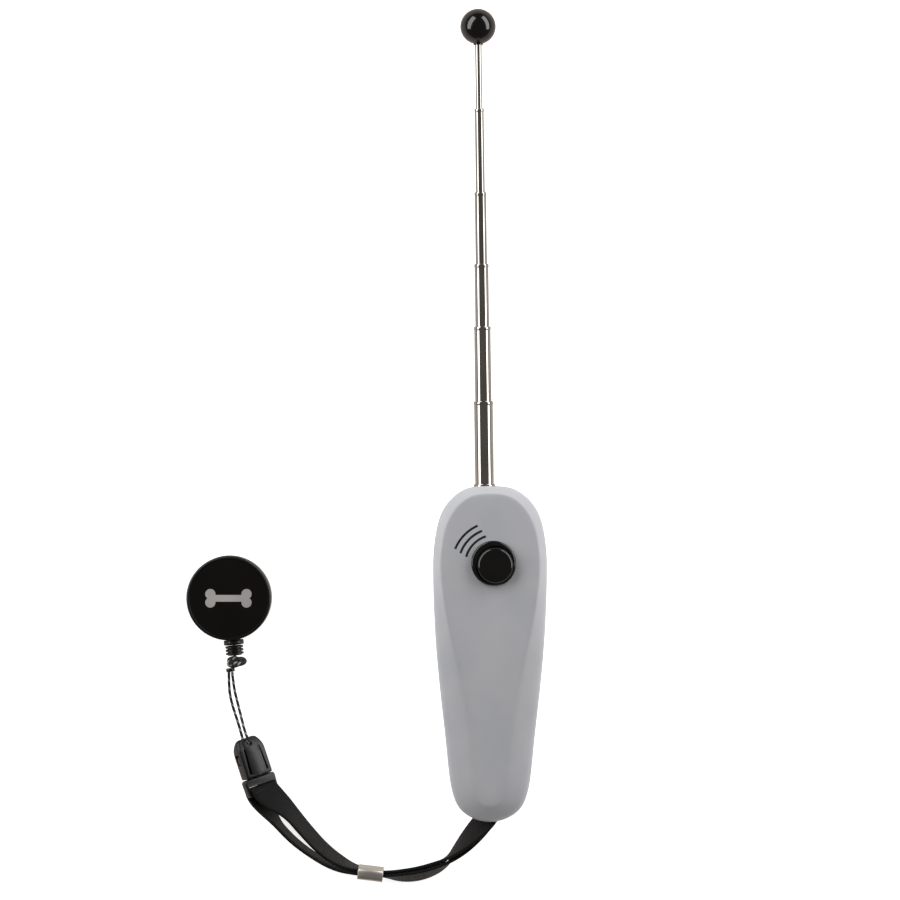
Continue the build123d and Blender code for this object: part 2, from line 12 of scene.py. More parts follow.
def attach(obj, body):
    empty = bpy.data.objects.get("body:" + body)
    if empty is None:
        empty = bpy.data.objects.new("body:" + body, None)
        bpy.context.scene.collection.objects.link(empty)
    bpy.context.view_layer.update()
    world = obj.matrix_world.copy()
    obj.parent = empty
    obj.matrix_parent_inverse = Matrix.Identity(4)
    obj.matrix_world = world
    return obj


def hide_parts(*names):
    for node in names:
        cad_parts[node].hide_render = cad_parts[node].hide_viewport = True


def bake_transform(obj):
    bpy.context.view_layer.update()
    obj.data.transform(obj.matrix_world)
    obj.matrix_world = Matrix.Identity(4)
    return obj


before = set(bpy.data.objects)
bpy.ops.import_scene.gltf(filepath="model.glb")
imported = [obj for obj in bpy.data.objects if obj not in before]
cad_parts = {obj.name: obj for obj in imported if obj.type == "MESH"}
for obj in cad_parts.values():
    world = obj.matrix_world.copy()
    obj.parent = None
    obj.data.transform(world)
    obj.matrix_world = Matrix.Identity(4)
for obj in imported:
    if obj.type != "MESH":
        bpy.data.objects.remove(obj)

# A telescopic target stick with a clicker in its handle, a wrist strap and a belt reel, finished
# for looking at.  Lengths are in millimetres and are turned to metres where a mesh is placed.

MM = 0.001
TELESCOPE_BASE = Vector((-1.8, 58.4, 8.0))
TELESCOPE_LEAN = 0.82     # degrees towards -X
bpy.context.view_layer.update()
LOG = logging.getLogger("target_stick")


# ---- colours, nodes and finishes -----------------------------------------------------------------

def linear(code: str) -> tuple[float, float, float, float]:
    """Turn an sRGB hex colour to linear light.

    Args:
        code: The colour as "#rrggbb".

    Returns:
        Linear red, green, blue and an alpha of 1.
    """
    channels = [int(code[i:i + 2], 16) / 255 for i in (1, 3, 5)]
    light = [c / 12.92 if c <= 0.04045 else ((c + 0.055) / 1.055) ** 2.4 for c in channels]
    return (light[0], light[1], light[2], 1.0)


def add_node(tree: bpy.types.NodeTree, kind: str, settings: dict | None = None,
             **inputs: object) -> bpy.types.Node:
    """Add one shader node with its settings, input values and links.

    Args:
        tree: The node tree it goes in.
        kind: The node's type, such as "ShaderNodeTexNoise".
        settings: Attributes of the node itself.
        inputs: Values or output sockets by input name, with underscores for spaces; a name such as
            "i0" picks an input by its place.

    Returns:
        The new node.
    """
    node = tree.nodes.new(kind)
    for name, value in (settings or {}).items():
        setattr(node, name, value)
    for name, value in inputs.items():
        place = int(name[1:]) if name[0] == "i" and name[1:].isdigit() else name.replace("_", " ")
        if isinstance(value, bpy.types.NodeSocket):
            tree.links.new(value, node.inputs[place])
        else:
            node.inputs[place].default_value = value
    return node


class Grain(Enum):
    """How a surface was made, which sets its fine relief."""

    MOULDED = "spark-eroded mould texture"
    POLISHED = "polished mould"
    DRAWN = "drawn and plated, with faint lines along its length"
    BRUSHED = "brushed or rolled, with fine lines across"


@dataclass(frozen=True)
class Finish:
    """A solid material with one colour and fine relief from how it was made."""

    name: str
    colour: str
    worn: str
    roughness: float
    grain: Grain
    pitch: float = 0.35
    relief: float = 0.02
    metallic: float = 0.0
    coat: float = 0.0
    ior: float = 1.5

    def build(self) -> bpy.types.Material:
        """Make the material, once.

        Returns:
            The material, with its colour, roughness and relief from nodes.
        """
        known = bpy.data.materials.get(self.name)
        if known:
            return known
        material = bpy.data.materials.new(self.name)
        material.use_nodes = True
        tree = material.node_tree
        shader = tree.nodes["Principled BSDF"]
        shader.inputs["Metallic"].default_value = self.metallic
        shader.inputs["Coat Weight"].default_value = self.coat
        shader.inputs["Coat Roughness"].default_value = 0.06
        if not self.metallic:
            shader.inputs["IOR"].default_value = self.ior
        place = add_node(tree, "ShaderNodeTexCoord").outputs["Object"]
        stretch = {Grain.DRAWN: (1.0, 0.02, 1.0), Grain.BRUSHED: (0.06, 1.0, 1.0)}.get(self.grain, (1, 1, 1))
        mapping = add_node(tree, "ShaderNodeMapping", None, Vector=place, Scale=stretch)
        fine = add_node(tree, "ShaderNodeTexNoise", None, Vector=mapping.outputs["Vector"],
                        Scale=1 / (self.pitch * MM), Detail=3.0, Roughness=0.55)
        broad = add_node(tree, "ShaderNodeTexNoise", None, Vector=place, Scale=1 / (14 * MM), Detail=2.0)
        tone = add_node(tree, "ShaderNodeMapRange", None, Value=broad.outputs["Fac"],
                        From_Min=0.35, From_Max=0.65)
        colour = add_node(tree, "ShaderNodeMix", {"data_type": "RGBA"}, Factor=tone.outputs["Result"])
        colour.inputs[6].default_value = linear(self.colour)
        colour.inputs[7].default_value = linear(self.worn)
        tree.links.new(colour.outputs[2], shader.inputs["Base Color"])
        rough = add_node(tree, "ShaderNodeMapRange", None, Value=fine.outputs["Fac"],
                         To_Min=self.roughness * 0.82, To_Max=self.roughness * 1.18)
        tree.links.new(rough.outputs["Result"], shader.inputs["Roughness"])
        bump = add_node(tree, "ShaderNodeBump", None, Height=fine.outputs["Fac"],
                        Distance=self.relief * MM, Strength=0.6)
        tree.links.new(bump.outputs["Normal"], shader.inputs["Normal"])
        return material


@dataclass(frozen=True)
class WovenStrap:
    """Black nylon webbing: ribs along the warp, crossed by fine picks; reads the piece's UV in metres."""

    name: str = "Nylon webbing, woven"
    colour: str = "#030304"
    lit: str = "#161617"
    rib_pitch: float = 0.9
    pick_pitch: float = 0.8

    def build(self) -> bpy.types.Material:
        """Make the material, once.

        Returns:
            The webbing's material.
        """
        known = bpy.data.materials.get(self.name)
        if known:
            return known
        material = bpy.data.materials.new(self.name)
        material.use_nodes = True
        tree = material.node_tree
        shader = tree.nodes["Principled BSDF"]
        shader.inputs["Sheen Weight"].default_value = 0.05
        shader.inputs["IOR"].default_value = 1.3
        shader.inputs["Sheen Roughness"].default_value = 0.4
        place = add_node(tree, "ShaderNodeUVMap", {"uv_map": "thread"}).outputs["UV"]
        parts = add_node(tree, "ShaderNodeSeparateXYZ", None, Vector=place)
        across, along = parts.outputs["X"], parts.outputs["Y"]
        warp = add_node(tree, "ShaderNodeMath", {"operation": "MULTIPLY"}, i0=across,
                        i1=2 * pi / (self.rib_pitch * MM))
        ribs = add_node(tree, "ShaderNodeMath", {"operation": "SINE"}, i0=warp.outputs[0])
        # Each rib's picks lean the other way from its neighbour's, as herringbone does.
        lean = add_node(tree, "ShaderNodeMath", {"operation": "ABSOLUTE"}, i0=ribs.outputs[0])
        shift = add_node(tree, "ShaderNodeMath", {"operation": "MULTIPLY"}, i0=lean.outputs[0], i1=2.2)
        weft = add_node(tree, "ShaderNodeMath", {"operation": "MULTIPLY_ADD"}, i0=along,
                        i1=2 * pi / (self.pick_pitch * MM), i2=shift.outputs[0])
        picks = add_node(tree, "ShaderNodeMath", {"operation": "SINE"}, i0=weft.outputs[0])
        high = add_node(tree, "ShaderNodeMath", {"operation": "MULTIPLY_ADD"}, i0=ribs.outputs[0], i1=0.5,
                        i2=picks.outputs[0])
        relief = add_node(tree, "ShaderNodeMapRange", None, Value=high.outputs[0], From_Min=-1.5, From_Max=1.5)
        fuzz = add_node(tree, "ShaderNodeTexNoise", None, Vector=place, Scale=1 / (1.5 * MM), Detail=4.0)
        tone = add_node(tree, "ShaderNodeMath", {"operation": "MULTIPLY"}, i0=relief.outputs["Result"],
                        i1=fuzz.outputs["Fac"])
        colour = add_node(tree, "ShaderNodeMix", {"data_type": "RGBA"}, Factor=tone.outputs[0])
        colour.inputs[6].default_value = linear(self.colour)
        colour.inputs[7].default_value = linear(self.lit)
        tree.links.new(colour.outputs[2], shader.inputs["Base Color"])
        rough = add_node(tree, "ShaderNodeMapRange", None, Value=relief.outputs["Result"], To_Min=0.75, To_Max=0.5)
        tree.links.new(rough.outputs["Result"], shader.inputs["Roughness"])
        bump = add_node(tree, "ShaderNodeBump", None, Height=relief.outputs["Result"], Distance=0.12 * MM,
                        Strength=0.8)
        tree.links.new(bump.outputs["Normal"], shader.inputs["Normal"])
        return material


@dataclass(frozen=True)
class GlintPaintedBraid:
    """Black braided polyester cord with glints painted in as pale spiral marks; reads the piece's UV in metres."""

    name: str = "Polyester cord, braided, with painted glints"
    dark: str = "#0d0d0e"
    painted_glint: str = "#a9a9a6"
    strand_pitch: float = 0.9
    painted_glint_pitch: float = 3.1

    def build(self) -> bpy.types.Material:
        """Make the material, once.

        Returns:
            The cord's material.
        """
        known = bpy.data.materials.get(self.name)
        if known:
            return known
        material = bpy.data.materials.new(self.name)
        material.use_nodes = True
        tree = material.node_tree
        shader = tree.nodes["Principled BSDF"]
        shader.inputs["Sheen Weight"].default_value = 0.2
        place = add_node(tree, "ShaderNodeUVMap", {"uv_map": "thread"}).outputs["UV"]
        parts = add_node(tree, "ShaderNodeSeparateXYZ", None, Vector=place)
        turn, along = parts.outputs["X"], parts.outputs["Y"]
        waves = []
        for hand in (1, -1):
            around = add_node(tree, "ShaderNodeMath", {"operation": "MULTIPLY"}, i0=turn, i1=2 * pi * 2 * hand)
            phase = add_node(tree, "ShaderNodeMath", {"operation": "MULTIPLY_ADD"}, i0=along,
                             i1=2 * pi / (self.strand_pitch * MM), i2=around.outputs[0])
            waves.append(add_node(tree, "ShaderNodeMath", {"operation": "SINE"}, i0=phase.outputs[0]).outputs[0])
        braid = add_node(tree, "ShaderNodeMath", {"operation": "MULTIPLY"}, i0=waves[0], i1=waves[1])
        relief = add_node(tree, "ShaderNodeMapRange", None, Value=braid.outputs[0], From_Min=-1.0)
        # Painted glints: pale marks spiralling along the cord stand in for highlights on its strands.
        spiral = add_node(tree, "ShaderNodeMath", {"operation": "MULTIPLY"}, i0=turn, i1=2 * pi)
        phase = add_node(tree, "ShaderNodeMath", {"operation": "MULTIPLY_ADD"}, i0=along,
                         i1=2 * pi / (self.painted_glint_pitch * MM), i2=spiral.outputs[0])
        glint_marks = add_node(tree, "ShaderNodeMath", {"operation": "SINE"}, i0=phase.outputs[0])
        edge = add_node(tree, "ShaderNodeMapRange", None, Value=glint_marks.outputs[0], From_Min=0.68, From_Max=0.88)
        colour = add_node(tree, "ShaderNodeMix", {"data_type": "RGBA"}, Factor=edge.outputs["Result"])
        colour.inputs[6].default_value = linear(self.dark)
        colour.inputs[7].default_value = linear(self.painted_glint)
        tree.links.new(colour.outputs[2], shader.inputs["Base Color"])
        rough = add_node(tree, "ShaderNodeMapRange", None, Value=relief.outputs["Result"], To_Min=0.8, To_Max=0.55)
        tree.links.new(rough.outputs["Result"], shader.inputs["Roughness"])
        bump = add_node(tree, "ShaderNodeBump", None, Height=relief.outputs["Result"], Distance=0.1 * MM)
        tree.links.new(bump.outputs["Normal"], shader.inputs["Normal"])
        return material


SATIN_ABS = Finish("ABS, satin moulded, light grey", "#c5c6cb", "#bfc1c7", 0.4, Grain.MOULDED, 0.3, 0.012)
GLOSS_ABS = Finish("ABS, polished mould, black", "#060606", "#0a0a0b", 0.13, Grain.POLISHED, 0.8, 0.004,
                   coat=0.4)
REEL_ABS = Finish("ABS, fine moulded, black", "#070606", "#0b0a0a", 0.34, Grain.MOULDED, 0.3, 0.015)
REEL_PRINT = Finish("PVC disc, printed, black", "#080504", "#0c0807", 0.3, Grain.MOULDED, 0.25, 0.006, ior=1.42)
BUCKLE_ACETAL = Finish("Acetal, moulded, charcoal", "#0a0a0b", "#0f0f10", 0.36, Grain.MOULDED, 0.3, 0.015)
INNER_ACETAL = Finish("Acetal, moulded, natural", "#d8d6cd", "#cfccc2", 0.4, Grain.MOULDED, 0.3, 0.01)
CHROME = Finish("Brass tube, drawn and chrome plated", "#c6c2bc", "#bab6b0", 0.05, Grain.DRAWN, 0.12, 0.001,
                metallic=1.0)
NICKEL = Finish("Steel, rolled and satin nickel plated", "#e2dfd9", "#d0cdc6", 0.4, Grain.BRUSHED, 0.12, 0.006,
                metallic=1.0)
BRASS = Finish("Brass, turned", "#d6b36a", "#c4a058", 0.25, Grain.BRUSHED, 0.1, 0.004, metallic=1.0)
SPRING = Finish("Spring steel, rolled", "#9c9d9f", "#86878a", 0.3, Grain.BRUSHED, 0.12, 0.005, metallic=1.0)
ZINC = Finish("Steel, zinc plated", "#a9abab", "#94979a", 0.32, Grain.MOULDED, 0.4, 0.006, metallic=1.0)
INK = Finish("Ink, pad printed, black", "#101011", "#19191a", 0.45, Grain.MOULDED, 0.3, 0.004)
PALE_INK = Finish("Ink, screen printed, pale grey", "#b9b6b3", "#a6a29f", 0.5, Grain.MOULDED, 0.3, 0.004)
WEBBING = WovenStrap()
BRAID = GlintPaintedBraid()


# ---- shaping -------------------------------------------------------------------------------------

def placed(origin: Vector, across: Vector, along: Vector) -> Matrix:
    """Make the matrix that puts a piece's own millimetres in the row frame's metres.

    Args:
        origin: Where its own origin goes, in millimetres.
        across: The row-frame direction of its own X.
        along: The row-frame direction of its own Y.

    Returns:
        The matrix, with metres as its unit.
    """
    x, y = across.normalized(), along.normalized()
    z = x.cross(y)
    turn = Matrix((x, y, z)).transposed().to_4x4()
    return Matrix.Scale(MM, 4) @ Matrix.Translation(origin) @ turn


def piece(name: str, shape: bmesh.types.BMesh, place: Matrix, body: str, finish: object,
          stands_for: tuple[str, ...] = (), sharp: float = 40.0) -> bpy.types.Object:
    """Turn a bmesh into a finished piece that rides on a body.

    Args:
        name: The piece's name.
        shape: Its bmesh, in its own millimetres; it is freed.
        place: The matrix from `placed`.
        body: The body it rides on, or nothing.
        finish: A finish with a `build` method.
        stands_for: The CAD nodes it replaces.
        sharp: Edges that turn more than this many degrees stay sharp.

    Returns:
        The object, which sits at the origin.
    """
    bmesh.ops.transform(shape, matrix=place, verts=shape.verts)
    if place.determinant() < 0:
        bmesh.ops.reverse_faces(shape, faces=shape.faces)
    for face in shape.faces:
        face.smooth = True
    for edge in shape.edges:
        edge.smooth = not (len(edge.link_faces) == 2 and edge.calc_face_angle(0) > radians(sharp))
    mesh = bpy.data.meshes.new(name)
    shape.to_mesh(mesh)
    shape.free()
    mesh.materials.append(finish.build())
    thing = bpy.data.objects.new(name, mesh)
    bpy.context.scene.collection.objects.link(thing)
    if body:
        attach(thing, body)
    if stands_for:
        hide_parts(*stands_for)
    LOG.info("%s: %d faces on %s", name, len(mesh.polygons), body)
    return thing


def spun(profile: list[tuple[float, float]], steps: int = 96, closed: bool = True) -> bmesh.types.BMesh:
    """Spin a profile about Z.

    Args:
        profile: Radius and height of each point, in order, outside first.
        steps: Facets round the axis.
        closed: Whether the last point joins the first.

    Returns:
        The closed shape.
    """
    shape = bmesh.new()
    points = [shape.verts.new((max(r, 0.0), 0, h)) for r, h in profile]
    pairs = list(zip(points, points[1:]))
    if closed:
        pairs.append((points[-1], points[0]))
    edges = [shape.edges.new(pair) for pair in pairs]
    bmesh.ops.spin(shape, geom=points + edges, cent=(0, 0, 0), axis=(0, 0, 1), angle=2 * pi, steps=steps,
                   use_merge=True)
    bmesh.ops.remove_doubles(shape, verts=shape.verts, dist=1e-4)
    bmesh.ops.recalc_face_normals(shape, faces=shape.faces)
    return shape


def rounded(profile: list[tuple[float, float]], radius: float, segments: int = 4) -> list[tuple[float, float]]:
    """Round every corner of a closed profile.

    Args:
        profile: Its corners.
        radius: The rounding, less where the sides are short.
        segments: Points along each rounding, less one.

    Returns:
        The profile with rounded corners.
    """
    out = []
    count = len(profile)
    for i, corner in enumerate(profile):
        here = Vector(corner)
        before, after = Vector(profile[i - 1]) - here, Vector(profile[(i + 1) % count]) - here
        reach = min(radius, before.length * 0.45, after.length * 0.45)
        start, end = here + before.normalized() * reach, here + after.normalized() * reach
        for k in range(segments + 1):
            t = k / segments
            out.append(tuple(start.lerp(here, t).lerp(here.lerp(end, t), t)))
    return out


def stack(rings: list[list[Vector]]) -> tuple[bmesh.types.BMesh, list[list[bmesh.types.BMVert]]]:
    """Extrude a first ring through a stack of rings that have as many points.

    Args:
        rings: The rings in order.

    Returns:
        The open skin, and its vertices ring by ring.
    """
    shape = bmesh.new()
    verts = [shape.verts.new(point) for point in rings[0]]
    edges = [shape.edges.new((verts[i - 1], verts[i])) for i in range(len(verts))]
    rows = [verts]
    for points in rings[1:]:
        made = bmesh.ops.extrude_edge_only(shape, edges=edges)["geom"]
        fresh = {part for part in made if isinstance(part, bmesh.types.BMVert)}
        verts = [next(e.other_vert(v) for e in v.link_edges if e.other_vert(v) in fresh) for v in verts]
        for vert, point in zip(verts, points):
            vert.co = point
        edges = [part for part in made if isinstance(part, bmesh.types.BMEdge) and fresh.issuperset(part.verts)]
        rows.append(verts)
    return shape, rows


def loft(rings: list[list[Vector]], cap_start: bool = True, cap_end: bool = True,
         closed: bool = False) -> bmesh.types.BMesh:
    """Skin a stack of rings that have the same number of points.

    Args:
        rings: The rings in order.
        cap_start: Whether the first ring is filled.
        cap_end: Whether the last ring is filled.
        closed: Whether the last ring joins the first, as in a hollow sleeve.

    Returns:
        The skinned shape, with its faces pointing outwards.
    """
    shape, rows = stack(rings + rings[:1] if closed else rings)
    for row, wanted in ((rows[0], cap_start), (rows[-1], cap_end)):
        if wanted and not closed:
            bmesh.ops.contextual_create(shape, geom=[shape.edges.get((row[i - 1], row[i])) for i in range(len(row))])
    bmesh.ops.remove_doubles(shape, verts=shape.verts, dist=1e-4)
    bmesh.ops.recalc_face_normals(shape, faces=shape.faces)
    return shape


def threaded(line: list[Vector], widths: list[Vector], section: list[tuple[float, float]],
             girth: list[float]) -> bmesh.types.BMesh:
    """Run a cross-section along a line, with a UV map in metres.

    Args:
        line: The line's points, in millimetres.
        widths: The direction of the section's own X at each of them.
        section: The section's corners, about its middle.
        girth: The U of each corner, and of the first one again after a whole turn.

    Returns:
        The closed shape, whose V is the distance along the line.
    """
    count = len(section)
    rings, reach = [], [0.0]
    for i, point in enumerate(line):
        ahead = (line[min(i + 1, len(line) - 1)] - line[max(i - 1, 0)]).normalized()
        x = (widths[i] - ahead * widths[i].dot(ahead)).normalized()
        y = ahead.cross(x)
        rings.append([point + x * u + y * v for u, v in section])
        if i:
            reach.append(reach[-1] + (point - line[i - 1]).length)
    shape, rows = stack(rings)
    place = {vert: (i, j) for i, row in enumerate(rows) for j, vert in enumerate(row)}
    layer = shape.loops.layers.uv.new("thread")
    for face in shape.faces:
        columns = {place[vert][1] for vert in face.verts}
        seam = columns == {0, count - 1}
        for loop in face.loops:
            i, j = place[loop.vert]
            loop[layer].uv = (girth[count if seam and j == 0 else j], reach[i] * MM)
    for row in (rows[0], rows[-1]):
        bmesh.ops.contextual_create(shape, geom=[shape.edges.get((row[i - 1], row[i])) for i in range(len(row))])
    bmesh.ops.recalc_face_normals(shape, faces=shape.faces)
    return shape


def carried(line: list[Vector], start: Vector) -> list[Vector]:
    """Carry a direction along a line without twisting it.

    Args:
        line: The line's points.
        start: The direction at the first of them.

    Returns:
        The direction at each point.
    """
    out, here = [], start
    for i in range(len(line)):
        ahead = (line[min(i + 1, len(line) - 1)] - line[max(i - 1, 0)]).normalized()
        here = (here - ahead * here.dot(ahead)).normalized()
        out.append(here)
    return out


def braid(line: list[Vector], radius: float, sides: int = 12) -> bmesh.types.BMesh:
    """Make a round cord along a line, with its UV map for the braid.

    Args:
        line: The line's points, in millimetres.
        radius: The cord's radius.
        sides: Facets round it.

    Returns:
        The closed cord.
    """
    section = [(radius * cos(2 * pi * k / sides), radius * sin(2 * pi * k / sides)) for k in range(sides)]
    across = Vector((0.3, 0.2, 0.93)).normalized()
    return threaded(line, carried(line, across), section, [k / sides for k in range(sides + 1)])


def circle(x: float, y: float, radius: float, z: float, count: int = 96) -> list[Vector]:
    """Points of a level circle.

    Args:
        x: Its centre's X.
        y: Its centre's Y.
        radius: Its radius.
        z: Its height.
        count: How many points.

    Returns:
        The points in order.
    """
    return [Vector((x + radius * cos(2 * pi * i / count), y + radius * sin(2 * pi * i / count), z))
            for i in range(count)]


def smooth_line(points: list[Vector], order: int = 3, resolution: int = 12, closed: bool = False) -> list[Vector]:
    """Read points from a NURBS spline through control points.

    Args:
        points: The control points.
        order: The spline's order; 3 follows them closely.
        resolution: Points between two control points.
        closed: Whether it is a ring.

    Returns:
        The points of the smooth line.
    """
    curve = bpy.data.curves.new("route", "CURVE")
    curve.dimensions = "3D"
    spline = curve.splines.new("NURBS")
    spline.points.add(len(points) - 1)
    for control, point in zip(spline.points, points):
        control.co = (*point, 1.0)
    spline.order_u = order
    spline.use_endpoint_u = not closed
    spline.use_cyclic_u = closed
    spline.resolution_u = resolution
    holder = bpy.data.objects.new("route", curve)
    mesh = bpy.data.meshes.new_from_object(holder)
    line = [vert.co.copy() for vert in mesh.vertices]
    bpy.data.meshes.remove(mesh)
    bpy.data.objects.remove(holder)
    bpy.data.curves.remove(curve)
    return line


def joined(*shapes: bmesh.types.BMesh) -> bmesh.types.BMesh:
    """Put several shapes in one bmesh.

    Args:
        shapes: The shapes; all but the first are freed.

    Returns:
        The first shape, with the others in it.
    """
    first = shapes[0]
    for shape in shapes[1:]:
        mesh = bpy.data.meshes.new("part")
        shape.to_mesh(mesh)
        shape.free()
        first.from_mesh(mesh)
        bpy.data.meshes.remove(mesh)
    return first


class Merge(Enum):
    """What is done with the tools of a Boolean."""

    CUT = "DIFFERENCE"
    FUSE = "UNION"


def combined(shape: bmesh.types.BMesh, *tools: bmesh.types.BMesh, how: Merge = Merge.CUT) -> bmesh.types.BMesh:
    """Cut closed tools out of a closed shape, or fuse them with it.

    Args:
        shape: What is changed; it is freed.
        tools: The tools; they are freed.
        how: Whether they are cut out or fused.

    Returns:
        The new shape.
    """
    things = []
    for part in (shape, *tools):
        mesh = bpy.data.meshes.new("tool")
        part.to_mesh(mesh)
        part.free()
        thing = bpy.data.objects.new("tool", mesh)
        bpy.context.scene.collection.objects.link(thing)
        things.append(thing)
    for tool in things[1:]:
        modifier = things[0].modifiers.new("tool", "BOOLEAN")
        modifier.operation = how.value
        modifier.object = tool
        modifier.solver = "EXACT"
    bpy.context.view_layer.update()
    result = bpy.data.meshes.new_from_object(things[0].evaluated_get(bpy.context.evaluated_depsgraph_get()))
    out = bmesh.new()
    out.from_mesh(result)
    bpy.data.meshes.remove(result)
    for thing in things:
        mesh = thing.data
        bpy.data.objects.remove(thing)
        bpy.data.meshes.remove(mesh)
    return out


def softened(shape: bmesh.types.BMesh, width: float, angle: float = 30.0, segments: int = 2) -> bmesh.types.BMesh:
    """Round every edge of a shape that turns sharply.

    Args:
        shape: The shape.
        width: The rounding's width.
        angle: The least turn, in degrees, that is rounded.
        segments: Facets across the rounding.

    Returns:
        The same shape.
    """
    edges = [e for e in shape.edges if len(e.link_faces) == 2 and e.calc_face_angle(0) > radians(angle)]
    bmesh.ops.bevel(shape, geom=edges, offset=width, offset_type="OFFSET", affect="EDGES", segments=segments,
                    profile=0.5, material=-1, clamp_overlap=True)
    return shape


def slab(outline: list[tuple[float, float]], low: float, high: float) -> bmesh.types.BMesh:
    """Extrude a closed outline upwards.

    Args:
        outline: Its corners.
        low: The height of its underside.
        high: The height of its top.

    Returns:
        The closed slab.
    """
    return loft([[Vector((x, y, low)) for x, y in outline], [Vector((x, y, high)) for x, y in outline]])


def box_of(low: tuple[float, float, float], high: tuple[float, float, float]) -> bmesh.types.BMesh:
    """Make a box between two corners.

    Args:
        low: Its lowest corner.
        high: Its highest corner.

    Returns:
        The box.
    """
    shape = bmesh.new()
    size = [b - a for a, b in zip(low, high)]
    middle = [(a + b) / 2 for a, b in zip(low, high)]
    bmesh.ops.create_cube(shape, size=1, matrix=Matrix.Translation(middle) @ Matrix.Diagonal((*size, 1)))
    return shape


def rod_of(x: float, y: float, radius: float, low: float, high: float, count: int = 48) -> bmesh.types.BMesh:
    """Make an upright round bar.

    Args:
        x: Its axis' X.
        y: Its axis' Y.
        radius: Its radius.
        low: The height of its foot.
        high: The height of its top.
        count: Facets round it.

    Returns:
        The bar.
    """
    return loft([circle(x, y, radius, low, count), circle(x, y, radius, high, count)])


def about(origin: Vector, up: Vector) -> Matrix:
    """Make the matrix that stands a spun piece on an axis.

    Args:
        origin: Where the axis starts, in millimetres.
        up: Its direction.

    Returns:
        The matrix, with metres as its unit.
    """
    across = up.cross(Vector((0.02, 0.01, 1))).normalized()
    if across.length < 0.5:
        across = Vector((1, 0, 0))
    return placed(origin, across, up.cross(across))


UPRIGHT = placed(Vector((0, 0, 0)), Vector((1, 0, 0)), Vector((0, 1, 0)))


# ---- the handle ----------------------------------------------------------------------------------

